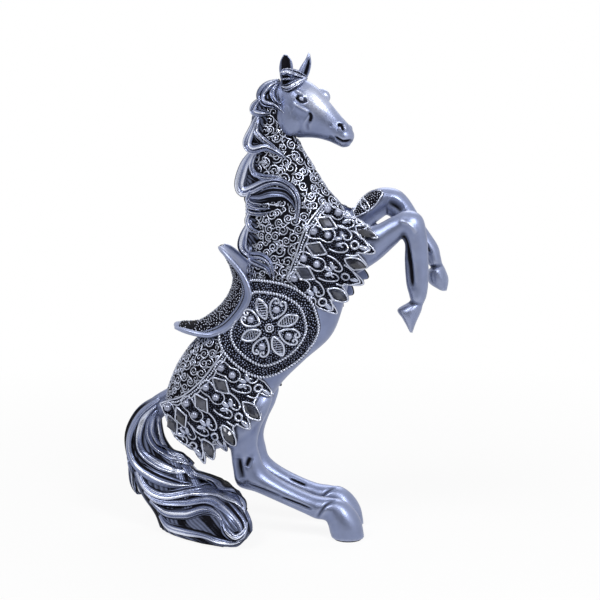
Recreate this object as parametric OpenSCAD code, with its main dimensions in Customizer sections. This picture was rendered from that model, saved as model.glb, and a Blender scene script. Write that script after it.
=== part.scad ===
// Rearing horse statue in cast resin, standing on both hind hooves and its tail.
// The castings are bonded and pinned together; stones, pearls and felt pads are set on them.
// X runs forwards, Z runs up, and the horse's own mid plane lies at y = mid_plane_y.

/* [Trunk] */
// Width across the hips
hip_w = 46; // [40:1:50]
// Width of the barrel under the saddle
barrel_w = 46; // [40:1:50]
// Width across the breast
breast_w = 40; // [36:1:44]
// Width of the neck at its root
neck_root_w = 32; // [28:1:36]
// Width of the neck half way up
neck_mid_w = 22; // [19:1:25]
// Width of the neck at the throat
throat_w = 18; // [16:1:20]

/* [Head] */
// Width across the cheeks and brow
brow_w = 24; // [21:1:26]
// Width of the nose below the eyes
nose_w = 15; // [13:1:17]
// Width of the muzzle
muzzle_w = 14; // [12:1:16]
// How far the head turns to the horse's right, in degrees
head_turn = 16; // [0:1:20]
// Thickness of an ear at its root
ear_t = 5; // [4:0.5:6]
// Distance between the two ears, middle to middle
ear_spread = 12; // [10:1:14]
// Thickness of the forelock
forelock_t = 3; // [2:0.5:4]

/* [Mane and tail] */
// Thickness of the mane between its locks
mane_t = 1.2; // [0.8:0.1:1.6]
// Thickness of a lock of the mane or the tail
lock_t = 3; // [2.5:0.1:3.5]
// Width of the tail where it leaves the rump
dock_w = 12; // [10:1:14]
// Greatest width of the tail
tail_w = 30; // [26:1:33]
// Depth of the hollows between the locks of the tail
tail_hollow = 2.2; // [1.6:0.1:2.6]

/* [Legs] */
// Thickness of the forearm from side to side
forearm_w = 18; // [15:1:20]
// Thickness of the front cannon from side to side
fore_cannon_w = 13; // [11:1:15]
// Thickness of the thigh from side to side
thigh_w = 22; // [19:1:25]
// Thickness of the hind cannon from side to side
hind_cannon_w = 14; // [12:1:16]
// Width of a front hoof
fore_hoof_w = 16; // [14:1:18]
// Width of a hind hoof
hind_hoof_w = 20; // [18:1:22]
// How far the middle of a front leg lies inside the side of the breast
fore_inset = 6; // [4:1:8]
// How far the middle of a hind leg lies inside the side of the hip
hind_inset = 9; // [7:1:11]

/* [Saddle and drapes] */
// Width of the saddle seat
seat_w = 30; // [26:1:33]
// Thickness of the saddle flaps
flap_t = 2; // [1.5:0.1:2.5]
// Thickness of the breast and rump drapes
drape_t = 2.2; // [1.6:0.1:2.8]
// Number of lobes along the lower edge of a breast drape
breast_lobes = 5; // [4:1:6]
// Number of lobes along the lower edge of a rump drape
rump_lobes = 7; // [6:1:8]
// Depth of the lobes
lobe_drop = 5; // [3:0.5:6]
// Room for the adhesive under each applied piece
glue_line = 0.3; // [0.2:0.05:0.4]

/* [Stones and pearls] */
// Diameter of a pearl
pearl_d = 3.6; // [3:0.1:4]
// Length of a diamond stone
diamond_l = 9; // [8:0.5:10]
// Width of a diamond stone
diamond_w = 5; // [4:0.5:6]
// Length of a leaf stone
leaf_l = 10; // [8:0.5:11]
// Width of a leaf stone
leaf_w = 5; // [4:0.5:6]
// Thickness of the stones
stone_t = 1.2; // [1:0.1:1.6]

/* [Pins and pads] */
// Diameter of the steel pins in the legs and the tail
pin_d = 3; // [2.5:0.1:4]
// Diameter of the dowels in the neck and head
dowel_d = 5; // [4:0.5:6]
// Diameter of the saddle pins
saddle_pin_d = 2; // [1.6:0.1:2.4]
// Room between a pin and its bore, all round
pin_room = 0.1; // [0.05:0.05:0.2]
// Thickness of the felt pads
pad_t = 1; // [0.8:0.1:1.5]
// How far a pad stays inside the edge of what it is glued to
pad_inset = 1.5; // [1:0.25:2.5]

/* [Hidden] */
// Shift that puts the middle of the statue's footprint at the origin
middle_x = 2.3;
mid_plane_y = 9;

SIDES = 24;
LEG_SIDES = 18;
STEPS = 3;
LEG_STEPS = 2;

RESIN = [0.62, 0.65, 0.74];
DARK_RESIN = [0.30, 0.31, 0.36];
STONE = [0.16, 0.16, 0.19];
PEARL = [0.86, 0.88, 0.94];
STEEL = [0.70, 0.70, 0.70];
FELT = [0.10, 0.10, 0.11];

// Stations. Each row is a section seen from the side: one edge (x, z), the opposite edge (x, z),
// half the width across y, and the section's y. Edges read dorsal then ventral, or front then back.

// From the rump to the root of the neck
torso_rows = [
    [-72, 62, -65, 52, 3, 0],
    [-76, 75, -57, 48, hip_w / 2 - 14, 0],
    [-75, 85, -38, 52, hip_w / 2 - 5, 0],
    [-69, 101, -19, 69, hip_w / 2, 0],
    [-60, 115, -9, 84, hip_w / 2, 0],
    [-48, 127, -1, 95, barrel_w / 2 - 1, 0],
    [-34, 140, 12, 108, barrel_w / 2, 0],
    [-26, 154, 27, 122, barrel_w / 2, 0],
    [-23, 168, 34, 138, barrel_w / 2, 0],
    [-22, 181, 39, 161, breast_w / 2 + 1, 0],
    [-22, 194, 40, 182, breast_w / 2, 0],
    [-22, 205, 35, 200, neck_root_w / 2, 0],
];

// From the root of the neck to the seam behind the jaw
neck_rows = [
    torso_rows[len(torso_rows) - 1],
    [-22, 217, 24, 214, (neck_root_w + neck_mid_w) / 4, 0],
    [-21, 229, 16, 227, neck_mid_w / 2, 0],
    [-20, 243, 10, 236, (neck_mid_w + throat_w) / 4, 0],
    [-16, 261, 8, 241, throat_w / 2, 0],
    [-6, 275, 6, 244, throat_w / 2, 0],
];
trunk_rows = concat(torso_rows, [for (i = [1:len(neck_rows) - 1]) neck_rows[i]]);
neck_root_t = len(torso_rows) - 1;
jaw_seam_t = len(trunk_rows) - 1;

// From the seam behind the jaw to the lips, and the same turned to the right
straight_head_rows = [
    neck_rows[len(neck_rows) - 1],
    [1, 278, 8, 243, brow_w / 2 - 1, 0],
    [10, 278, 12, 243, brow_w / 2, 0],
    [19, 273, 16, 244, brow_w / 2 - 2, 0],
    [28, 263, 21, 244, nose_w / 2, 0],
    [34, 256, 27, 242, muzzle_w / 2 - 0.5, 0],
    [39, 250, 32, 239, muzzle_w / 2, 0],
    [41, 246, 36, 238, muzzle_w / 2 - 1, 0],
    [41, 243, 39, 240, muzzle_w / 2 - 4, 0],
];
head_rows = [for (r = straight_head_rows)
    [r[0], r[1], r[2], r[3], r[4], -tan(head_turn) * (r[0] + r[2]) / 2]];

fore_y = breast_w / 2 - fore_inset;
hind_y = hip_w / 2 - hind_inset;

// Front leg on the horse's right, folded at the knee, from the shoulder to the toe
fore_right_rows = [
    [26, 186, 26, 158, forearm_w / 2, 6 - fore_y],
    [42, 190, 42, 162, forearm_w / 2 + 0.5, -fore_y],
    [55, 192, 56, 170, forearm_w / 2, -fore_y],
    [65, 197, 67, 180, forearm_w / 2 - 1, -fore_y],
    [75, 201, 71, 184, forearm_w / 2 - 1, -fore_y],
    [83, 197, 72, 183, forearm_w / 2 - 1, -fore_y],
    [86, 185, 73, 180, fore_cannon_w / 2 + 1, -fore_y],
    [87, 171, 73, 171, fore_cannon_w / 2, -fore_y],
    [87, 158, 74, 158, fore_cannon_w / 2, -fore_y],
    [86, 150, 76, 150, fore_cannon_w / 2, -fore_y],
    [84, 145, 76, 147, fore_hoof_w / 2 - 2, -fore_y],
    [83, 141, 69, 142, fore_hoof_w / 2, -fore_y],
    [80, 134, 72, 137, fore_hoof_w / 2, -fore_y],
    [78, 128, 76, 130, fore_hoof_w / 2 - 3, -fore_y],
];

// Front leg on the horse's left, reaching further forwards
fore_left_rows = [
    [22, 194, 25, 168, forearm_w / 2, fore_y - 6],
    [37, 198, 40, 177, forearm_w / 2, fore_y],
    [45, 206, 51, 189, forearm_w / 2 - 0.5, fore_y],
    [54, 212, 61, 197, forearm_w / 2 - 1, fore_y],
    [65, 212, 60, 196, forearm_w / 2 - 1, fore_y],
    [73, 206, 63, 194, fore_cannon_w / 2 + 1, fore_y],
    [83, 190, 71, 185, fore_cannon_w / 2, fore_y],
    [91, 178, 81, 173, fore_cannon_w / 2, fore_y],
    [93, 171, 85, 167, fore_cannon_w / 2, fore_y],
    [94, 167, 87, 164, fore_hoof_w / 2 - 2, fore_y],
    [96, 163, 85, 162, fore_hoof_w / 2, fore_y],
    [98, 157, 86, 155, fore_hoof_w / 2, fore_y],
    [97, 150, 92, 151, fore_hoof_w / 2 - 3, fore_y],
];

// Hind leg on the horse's right, from the thigh to the sole
hind_right_rows = [
    [-15, 98, -49, 71, thigh_w / 2 - 1, 7 - hind_y],
    [-7, 89, -44, 61, thigh_w / 2, 2 - hind_y],
    [-9, 78, -37, 56, thigh_w / 2 - 0.5, -hind_y],
    [-14, 67, -33, 54, thigh_w / 2 - 2, -hind_y],
    [-16, 57, -32, 50, thigh_w / 2 - 2.5, -hind_y],
    [-14, 49, -31, 42, thigh_w / 2 - 2.5, -hind_y],
    [-11, 42, -28, 31, thigh_w / 2 - 2.5, -hind_y],
    [-3, 36, -16, 27, hind_cannon_w / 2 + 0.5, -hind_y],
    [9, 30, 1, 20, hind_cannon_w / 2, -hind_y],
    [20, 26, 13, 15, hind_cannon_w / 2, -hind_y],
    [28, 25, 20, 12, hind_cannon_w / 2 + 0.5, -hind_y],
    [36, 24, 26, 11, hind_hoof_w / 2 - 2.5, -hind_y],
    [43, 19, 28, 8, hind_hoof_w / 2 - 1, -hind_y],
    [48, 11, 29, 4, hind_hoof_w / 2, -hind_y],
    [50, pad_t, 30, pad_t, hind_hoof_w / 2, -hind_y],
];

// How much further back the left hind foot stands, row by row from the thigh down
hind_left_back = 3;
hind_left_rows = [for (i = [0:len(hind_right_rows) - 1])
    let (r = hind_right_rows[i], back = hind_left_back * max(0, min(1, (i - 3) / 4)))
    [r[0] - back, r[1], r[2] - back, r[3], r[4], -r[5]]];

// Tail, from the dock out, down and round to the horse's right: back edge, then inner edge
tail_rows = [
    [-74, 88, -70, 75, dock_w / 2, 0],
    [-86, 81, -77, 69, dock_w / 2 + 1, 0],
    [-97, 70, -80, 63.5, dock_w / 2 + 3, 0],
    [-103, 55, -79, 56, tail_w / 2 - 4, 0],
    [-103, 41, -74, 48, tail_w / 2 - 3, 0],
    [-98, 30, -63, 44.5, tail_w / 2 - 2, -2],
    [-92, 19, -56, 38.5, tail_w / 2 - 1, -5],
    [-84, 7, -48, 30, tail_w / 2, -6],
    [-76, -5, -37, 29, tail_w / 2 + 1, -13],
    [-60, -6, -28, 30, tail_w / 2, -24],
    [-43, -6, -21, 26, tail_w / 2 - 2, -33],
    [-28, -4, -15, 18, tail_w / 2 - 6, -38],
    [-19, 4, -14, 11, tail_w / 2 - 11, -39],
];

// Main locks of the mane and the tail seen from the side: x, z and half width along each
mane_lock_paths = [
    [[-4, 277, 1], [-10.5, 273.5, 3], [-14, 268.5, 3.5], [-12, 264, 3], [-5.5, 262.5, 2], [0, 258, 0.5]],
    [[-17, 262, 1], [-19, 259.5, 2], [-17, 256.5, 2], [-12.5, 256, 2], [-8, 256.5, 0.5]],
    [[-18, 251.5, 1.5], [-21, 246, 3], [-22.5, 239.5, 3.5], [-19, 236, 3], [-10.5, 238, 2.5],
        [-3.5, 235, 2], [1.5, 231, 0.5]],
    [[-20.5, 229.5, 1.5], [-25, 223.5, 3.5], [-27.5, 216, 4], [-26, 210.5, 3.5], [-19, 212.5, 3.5],
        [-11, 216.5, 3], [-3, 217.5, 3], [4.5, 214.5, 2.5], [9, 208.5, 2.5], [10, 201, 2], [9, 192.5, 0.5]],
    [[-21, 205, 1], [-25.5, 202, 2], [-24.5, 198.5, 2], [-18, 199.5, 2], [-11, 203, 2], [-5, 203, 0.5]],
    [[-21, 194, 1.5], [-25, 185, 3], [-26, 176.5, 3.5], [-21, 172.5, 3], [-13, 172.5, 2.5], [-7, 169, 2],
        [-4, 160, 0.5]],
];
tail_lock_paths = [
    [[-79, 82, 2], [-91, 73, 4], [-98, 61, 4.5], [-99, 49.5, 4.5], [-93.5, 40, 4.5], [-81, 34.5, 4.5],
        [-67.5, 32, 4], [-56, 31, 2]],
    [[-80, 75, 2], [-86, 68, 3.5], [-88, 59, 4], [-85, 50, 4], [-76, 44, 3.5], [-66, 41, 3],
        [-58, 38.5, 1.5]],
    [[-94, 33, 3], [-86.5, 25, 4], [-73.5, 21.5, 4.5], [-57, 23.5, 4.5], [-40.5, 25, 4.5], [-26, 24, 4],
        [-19, 19, 2]],
    [[-85, 15, 3], [-73.5, 10, 4.5], [-59.5, 9.5, 4.5], [-46.5, 12, 4.5], [-34, 11.5, 4], [-23, 8, 3]],
    [[-99, 42, 1.5], [-99, 33.5, 3], [-98, 25.5, 3], [-95, 20, 2]],
];

// Ears: front edge, back edge, half thickness, y
ear_right_rows = [
    [4, 270, -2, 269, ear_t / 2, -ear_spread / 2],
    [4, 277, -2, 276, ear_t / 2, -ear_spread / 2],
    [4.5, 283, -3, 283, ear_t / 2 - 0.2, -ear_spread / 2 - 0.5],
    [3, 288, -2, 288, ear_t / 2 - 0.8, -ear_spread / 2 - 0.5],
    [0.8, 291.5, -0.2, 291.5, 0.6, -ear_spread / 2 - 0.5],
];
ear_left_rows = [
    [9, 269, 3, 270, ear_t / 2, ear_spread / 2],
    [11, 276, 5, 278, ear_t / 2, ear_spread / 2],
    [13.5, 282, 7.5, 284.5, ear_t / 2 - 0.2, ear_spread / 2 + 0.5],
    [14.5, 287.5, 10.5, 289, ear_t / 2 - 0.8, ear_spread / 2 + 0.5],
    [13.6, 293, 12.6, 293.5, 0.6, ear_spread / 2 + 0.5],
];

// Saddle seat: place along the trunk, height of the seat over the back, gap under it, half width
seat_rows = [
    [4.4, 17, 15.5, 3],
    [4.7, 11, 7.5, seat_w / 2 - 6],
    [5, 6.5, 1.5, seat_w / 2 - 3],
    [5.5, 5, 0, seat_w / 2 - 0.5],
    [6, 5, 0, seat_w / 2],
    [6.5, 5.4, 0, seat_w / 2],
    [7, 7, 0.4, seat_w / 2 - 1],
    [7.5, 12, 4, seat_w / 2 - 4],
    [7.9, 18, 14, seat_w / 2 - 9],
    [8, 21, 19.5, 3],
];

// Outlines seen from the side, as (x, z)
flap_outline = [[-16, 158], [-17, 147], [-26, 133], [-36, 123], [-31, 111], [-12, 99], [10, 109],
    [22, 126], [22, 139], [17, 150], [3, 157]];
flap_middle = [-6, 130];
breast_upper = [[24, 204], [15, 191], [9, 174], [5, 163]];
breast_lower = [[52, 190], [51, 175], [44, 157], [30, 143]];
rump_upper = [[-38, 111], [-50, 100], [-63, 90], [-76, 81]];
rump_lower = [[-9, 88], [-17, 74], [-33, 59], [-50, 49], [-66, 58]];

// Set pieces on the drapes, as shares (along, down) of them, and on the flaps, as (x, z)
breast_diamond_spots = [[0.21, 0.24], [0.5, 0.26], [0.81, 0.24]];
rump_diamond_spots = [[0.22, 0.33], [0.49, 0.32], [0.78, 0.36], [0.95, 0.56]];
breast_pearl_spots = [[0.37, 0.14], [0.35, 0.34], [0.66, 0.13], [0.64, 0.33], [0.95, 0.14]];
rump_pearl_spots = [[0.09, 0.22], [0.09, 0.41], [0.36, 0.2], [0.35, 0.42], [0.65, 0.22],
    [0.63, 0.44], [0.92, 0.3]];
breast_leaf_spots = [[0.09, 0.96], [0.46, 0.9], [0.84, 0.92]];
rump_leaf_spots = [[0.2, 0.9], [0.45, 0.92], [0.67, 0.92]];
flap_pearl_places = [[-2, 144], [-16, 137], [3.5, 129], [-12, 120]];

// Curve through the rows of a list, at t from 0 to its last row
function curve(p, t) =
    let (
        last = len(p) - 1,
        i = max(0, min(floor(t), last - 1)),
        f = t - i,
        a = p[max(i - 1, 0)],
        b = p[i],
        c = p[i + 1],
        d = p[min(i + 2, last)]
    )
    0.5 * (2 * b + f * (c - a) + f * f * (2 * a - 5 * b + 4 * c - d) + f * f * f * (3 * b - a - 3 * c + d));

function share(p, f) = curve(p, f * (len(p) - 1));
function middle(r) = [(r[0] + r[2]) / 2, r[5], (r[1] + r[3]) / 2];
function half(r) = [(r[0] - r[2]) / 2, 0, (r[1] - r[3]) / 2];
function unit(v) = v / norm(v);

// Point of a section at an angle, lifted off the surface
function on_section(r, angle, lift = 0) =
    middle(r) + (half(r) + lift * unit(half(r))) * sin(angle) + [0, (r[4] + lift) * cos(angle), 0];

function above(p, low) = [p[0], p[1], max(p[2], low)];

// +1 where a section's points turn anticlockwise about the way the stations run, otherwise -1
function turn(rows) =
    let (m = floor(len(rows) / 2))
    sign(cross([0, 1, 0], half(rows[m])) * (middle(rows[m + 1]) - middle(rows[m])));

function wound(face, way) = way > 0 ? face : [for (i = [len(face) - 1:-1:0]) face[i]];

// Faces of a closed tube of rings, wound for a tube whose rings turn anticlockwise
function tube_faces(rings, sides, way) = concat(
    [for (i = [0:rings - 2], k = [0:sides - 1]) let (n = (k + 1) % sides)
        wound([i * sides + k, (i + 1) * sides + n, i * sides + n], way)],
    [for (i = [0:rings - 2], k = [0:sides - 1]) let (n = (k + 1) % sides)
        wound([i * sides + k, (i + 1) * sides + k, (i + 1) * sides + n], way)],
    [for (k = [1:sides - 2]) wound([0, k, k + 1], way)],
    [for (k = [1:sides - 2]) let (e = (rings - 1) * sides) wound([e, e + k + 1, e + k], way)]
);

// Smooth solid through a list of stations
module loft(rows, sides = LEG_SIDES, steps = STEPS, low = -1000) {
    rings = (len(rows) - 1) * steps + 1;
    points = [for (i = [0:rings - 1], k = [0:sides - 1])
        above(on_section(curve(rows, i / steps), 360 * k / sides), low)];
    polyhedron(points, tube_faces(rings, sides, turn(rows)));
}

// Solid between an outer and an inner grid of points, both of the same size
module slab(outer, inner) {
    rows = len(outer);
    cols = len(outer[0]);
    count = rows * cols;
    points = concat([for (r = outer, p = r) p], [for (r = inner, p = r) p]);
    rim = concat(
        [for (j = [0:cols - 1]) j],
        [for (i = [1:rows - 1]) i * cols + cols - 1],
        [for (j = [cols - 2:-1:0]) (rows - 1) * cols + j],
        [for (i = [rows - 2:-1:1]) i * cols]
    );
    faces = concat(
        [for (i = [0:rows - 2], j = [0:cols - 2]) let (a = i * cols + j) [a, a + cols + 1, a + 1]],
        [for (i = [0:rows - 2], j = [0:cols - 2]) let (a = i * cols + j) [a, a + cols, a + cols + 1]],
        [for (i = [0:rows - 2], j = [0:cols - 2]) let (a = count + i * cols + j) [a, a + 1, a + cols + 1]],
        [for (i = [0:rows - 2], j = [0:cols - 2]) let (a = count + i * cols + j)
            [a, a + cols + 1, a + cols]],
        [for (k = [0:len(rim) - 1]) let (n = (k + 1) % len(rim)) [rim[k], rim[n] + count, rim[k] + count]],
        [for (k = [0:len(rim) - 1]) let (n = (k + 1) % len(rim)) [rim[k], rim[n], rim[n] + count]]
    );
    polyhedron(points, faces);
}

// Half width of the horse at a point seen from the side, over the trunk and the legs' roots
FINE = 12;
TRUNK_FINE = [for (i = [0:FINE * jaw_seam_t]) curve(trunk_rows, i / FINE)];
function leg_fine(rows, last) = [for (i = [0:FINE * last]) curve(rows, i / FINE)];
RIGHT = 0;
LEFT = 1;
LEGS_FINE = [
    [leg_fine(fore_right_rows, 4), leg_fine(hind_right_rows, 5)],
    [leg_fine(fore_left_rows, 4), leg_fine(hind_left_rows, 5)],
];

function off_line(r, p) =
    let (h = half(r), d = p - [(r[0] + r[2]) / 2, (r[1] + r[3]) / 2])
    abs(d[0] * h[2] - d[1] * h[0]) / norm(h);
function along_line(r, p) =
    let (h = half(r), d = p - [(r[0] + r[2]) / 2, (r[1] + r[3]) / 2])
    (d[0] * h[0] + d[1] * h[2]) / (h * h);
function side_of(fine, p) =
    let (
        miss = [for (r = fine) off_line(r, p) + 1000 * max(0, abs(along_line(r, p)) - 1.2)],
        r = fine[search(min(miss), miss)[0]],
        q = along_line(r, p)
    )
    min(miss) > 2 || abs(q) >= 1 ? 0 : abs(r[5]) + r[4] * sqrt(1 - q * q);

// Height of locks of hair at a point seen from the side
LOCK_FINE = 30;
function lock_fine(paths) = [for (path = paths) [for (i = [0:LOCK_FINE]) share(path, i / LOCK_FINE)]];
function lock_relief(locks, p) = max([for (fine = locks)
    let (
        away = [for (s = fine) norm([s[0] - p[0], s[1] - p[1]])],
        i = search(min(away), away)[0],
        w = away[i] / fine[i][2]
    )
    w < 1 ? lock_t * pow(1 - w * w, 1.5) * min(1, 5 - 5 * i / LOCK_FINE) : 0]);

DRAPE_LEAST = 13;
function side_y(p, hand) =
    max(DRAPE_LEAST, side_of(TRUNK_FINE, p), side_of(LEGS_FINE[hand][0], p),
        side_of(LEGS_FINE[hand][1], p));

// Point on the horse's side, lifted off it, drawn on the right whichever side it is for
function at_side(p, lift, hand) = [p[0], -(side_y(p, hand) + lift), p[1]];

// Point of a drape, at a share of its length and of its height, lobes left out
function drape_point(upper, lower, along, down) =
    let (u = share(upper, along), l = share(lower, along)) u + (l - u) * down;

// Puts what is drawn on the right on the side it is for
module on_hand(hand) {
    mirror([0, hand, 0])
        children();
}

// Panel between an upper edge and a lower edge that has lobes, drawn on the right
module drape(upper, lower, lobes, hand) {
    cols = lobes * 5;
    rows = 5;
    grid = [for (i = [0:rows]) [for (j = [0:cols])
        let (
            u = share(upper, j / cols),
            l = share(lower, j / cols),
            drop = lobe_drop * abs(sin(180 * lobes * j / cols))
        )
        u + (l + unit(l - u) * drop - u) * i / rows]];
    slab(
        [for (r = grid) [for (p = r) at_side(p, glue_line + drape_t, hand)]],
        [for (r = grid) [for (p = r) at_side(p, glue_line, hand)]]
    );
}

// Outline as a closed curve, at a share of the way round
function round_share(outline, f) =
    let (n = len(outline), wrapped = [for (i = [-1:n + 1]) outline[(i + n) % n]]) curve(wrapped, 1 + f * n);

// Rings of points from the rim of an outline in to its middle, seen from the side
function rings_of(outline, centre, count, around) =
    [for (j = [0:count - 1]) [for (k = [0:around - 1])
        centre + (round_share(outline, k / around) - centre) * (1 - j / count)]];

// Solid between an outer and an inner set of rings, rim first, both closed at the middle
module shell(outer, inner) {
    rings = len(outer);
    around = len(outer[0]);
    count = rings * around;
    points = concat([for (r = outer, p = r) p], [for (r = inner, p = r) p]);
    last = (rings - 1) * around;
    faces = concat(
        [for (j = [0:1:rings - 2], k = [0:around - 1]) let (n = (k + 1) % around)
            [j * around + k, (j + 1) * around + n, j * around + n]],
        [for (j = [0:1:rings - 2], k = [0:around - 1]) let (n = (k + 1) % around)
            [j * around + k, (j + 1) * around + k, (j + 1) * around + n]],
        [for (j = [0:1:rings - 2], k = [0:around - 1]) let (n = (k + 1) % around)
            [count + j * around + k, count + j * around + n, count + (j + 1) * around + n]],
        [for (j = [0:1:rings - 2], k = [0:around - 1]) let (n = (k + 1) % around)
            [count + j * around + k, count + (j + 1) * around + n, count + (j + 1) * around + k]],
        [for (k = [1:around - 2]) [last, last + k + 1, last + k]],
        [for (k = [1:around - 2]) [count + last, count + last + k, count + last + k + 1]],
        [for (k = [0:around - 1]) let (n = (k + 1) % around) [k, n, count + n]],
        [for (k = [0:around - 1]) let (n = (k + 1) % around) [k, count + n, count + k]]
    );
    polyhedron(points, faces);
}

STEEPEST = 0.5;
function total(v) = v * [for (x = v) 1];

// Set piece on the horse's side, with a flat back that lies on the highest spots under it
module set_piece(p, outline, turned, lift, height, shoulder, table, hand) {
    n = len(outline);
    spots = [for (q = outline)
        [q[0] * cos(turned) - q[1] * sin(turned), q[0] * sin(turned) + q[1] * cos(turned)]];
    under = concat(spots, spots / 2, [[0, 0]]);
    ys = [for (q = under) side_y(p + q, hand)];
    slope = [for (i = [0, 1])
        let (
            rise = total([for (k = [0:len(under) - 1]) ys[k] * under[k][i]]),
            run = total([for (q = under) q[i] * q[i]]),
            s = rise / run
        )
        max(-STEEPEST, min(STEEPEST, s))];
    seat = max([for (k = [0:len(under) - 1]) ys[k] - slope * under[k]]);
    function spot(q, up) = [p[0] + q[0], -(seat + slope * q + lift + up), p[1] + q[1]];
    points = concat(
        [for (q = spots) spot(q, 0)],
        [for (q = spots) spot(q * table, shoulder)],
        [spot([0, 0], 0), spot([0, 0], height)]
    );
    faces = concat(
        [for (k = [0:n - 1]) [k, n + k, n + (k + 1) % n]],
        [for (k = [0:n - 1]) [k, n + (k + 1) % n, (k + 1) % n]],
        [for (k = [0:n - 1]) [2 * n, k, (k + 1) % n]],
        [for (k = [0:n - 1]) [2 * n + 1, n + (k + 1) % n, n + k]]
    );
    polyhedron(points, faces);
}

pearl_outline = [for (k = [0:7]) pearl_d / 2 * [cos(45 * k), sin(45 * k)]];
diamond_outline = [[diamond_l / 2, 0], [diamond_l / 4, diamond_w / 4], [0, diamond_w / 2],
    [-diamond_l / 4, diamond_w / 4], [-diamond_l / 2, 0], [-diamond_l / 4, -diamond_w / 4],
    [0, -diamond_w / 2], [diamond_l / 4, -diamond_w / 4]];
leaf_outline = [for (k = [0:7]) let (f = k < 4 ? k / 4 : (8 - k) / 4, up = k < 4 ? 1 : -1)
    [leaf_l / 2 * cos(180 * f), up * leaf_w / 2 * pow(sin(180 * f), 1.3)]];
on_drape = 2 * glue_line + drape_t;
on_flap = 2 * glue_line + flap_t;

module pearl(p, lift, hand) {
    set_piece(p, pearl_outline, 0, lift, pearl_d / 2, pearl_d / 3, 0.72, hand);
}

module diamond(p, turned, hand) {
    set_piece(p, diamond_outline, turned, on_drape, stone_t, stone_t, 0.6, hand);
}

module leaf_stone(p, turned, hand) {
    set_piece(p, leaf_outline, turned, on_drape, stone_t, stone_t / 2, 0.6, hand);
}

// Straight round bar between two points
module bar(from, to, d) {
    v = to - from;
    translate(from)
        rotate([0, acos(v[2] / norm(v)), atan2(v[1], v[0])])
            cylinder(d = d, h = norm(v), $fn = 32);
}

module both_sides() {
    children();
    mirror([0, 1, 0])
        children();
}

// Pins: where each starts, in the piece that carries it, and where it ends
PIN_END_ROOM = 0.5;
neck_dowel_ends = [middle(curve(trunk_rows, neck_root_t - 1)), middle(curve(trunk_rows, neck_root_t + 1))];
head_dowel_ends = [middle(curve(trunk_rows, jaw_seam_t - 0.6)), middle(curve(head_rows, 1))];
fore_right_pin_ends = [middle(fore_right_rows[0]) - [6, 0, 0], middle(fore_right_rows[3])];
fore_left_pin_ends = [middle(fore_left_rows[0]) - [6, 0, 0], middle(fore_left_rows[2])];
hind_pin_ends = [middle(hind_right_rows[0]) + [4, 0, 14], middle(hind_right_rows[4])];
tail_pin_ends = [middle(tail_rows[0]) + [16, 0, -1], middle(tail_rows[1]) + [0, 0, 1]];
function back_point(t, lift) = on_section(curve(trunk_rows, t), 90, lift);
saddle_pin_places = [5.5, 6.8];
SADDLE_PIN_IN = 8;
SADDLE_PIN_OUT = 3;

module bore(ends, d) {
    v = unit(ends[1] - ends[0]) * PIN_END_ROOM;
    bar(ends[0] - v, ends[1] + v, d + 2 * pin_room);
}

module saddle_pin_bores() {
    for (t = saddle_pin_places)
        bore([back_point(t, -SADDLE_PIN_IN), back_point(t, SADDLE_PIN_OUT)], saddle_pin_d);
}

module torso_form() {
    loft(torso_rows, SIDES);
}

module torso() {
    color(RESIN)
        difference() {
            torso_form();
            bore(neck_dowel_ends, dowel_d);
            bore(fore_right_pin_ends, pin_d);
            bore(fore_left_pin_ends, pin_d);
            both_sides()
                bore(hind_pin_ends, pin_d);
            bore(tail_pin_ends, pin_d);
            saddle_pin_bores();
        }
}

module neck() {
    color(RESIN)
        difference() {
            loft(neck_rows, SIDES);
            bore(neck_dowel_ends, dowel_d);
            bore(head_dowel_ends, dowel_d);
        }
}

module head() {
    color(RESIN)
        difference() {
            loft(head_rows, SIDES);
            bore(head_dowel_ends, dowel_d);
        }
}

module ear(rows) {
    color(RESIN)
        difference() {
            loft(rows, 12);
            loft(head_rows, SIDES);
        }
}

// Tuft that falls from between the ears over the brow and the right cheek
module forelock() {
    count = 12;
    across = 6;
    path = [[2.0, 92, 1.5], [1.95, 108, 3], [1.9, 124, 3.5], [1.8, 138, 3.5], [1.7, 152, 2.5],
        [1.6, 164, 1]];
    outer = [for (i = [0:count]) let (s = share(path, i / count)) [for (k = [0:across])
        let (w = 1 - 2 * k / across)
        on_section(curve(head_rows, s[0] + w * s[2] / 12), s[1],
            glue_line + 0.4 + (forelock_t - 0.4) * (1 - w * w))]];
    inner = [for (i = [0:count]) let (s = share(path, i / count)) [for (k = [0:across])
        let (w = 1 - 2 * k / across)
        on_section(curve(head_rows, s[0] + w * s[2] / 12), s[1], glue_line)]];
    color(RESIN)
        slab(outer, inner);
}

// How far the locks of the mane stand past a point of the crest, along the way out from it
MANE_LOCKS_FINE = lock_fine(mane_lock_paths);
function past_crest(p, out) = max([for (fine = MANE_LOCKS_FINE) for (s = fine)
    let (d = [s[0], s[1]] - p, off = abs(cross(d, out)))
    off < s[2] ? d * out + sqrt(s[2] * s[2] - off * off) : 0]);

// Mane: a sheet over the crest that is raised into locks; one of them falls far down the neck
MANE_FROM = 8.2;
MANE_TO = 15.8;
MANE_ROWS = 50;
MANE_ACROSS = 22;
function mane_reach(t) = 58 + 52 * exp(-pow((t - 11.3) / 1.1, 2));
function near_crest(degrees) = let (f = min(1, max(0, (45 - degrees) / 25))) f * f * (3 - 2 * f);

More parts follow.
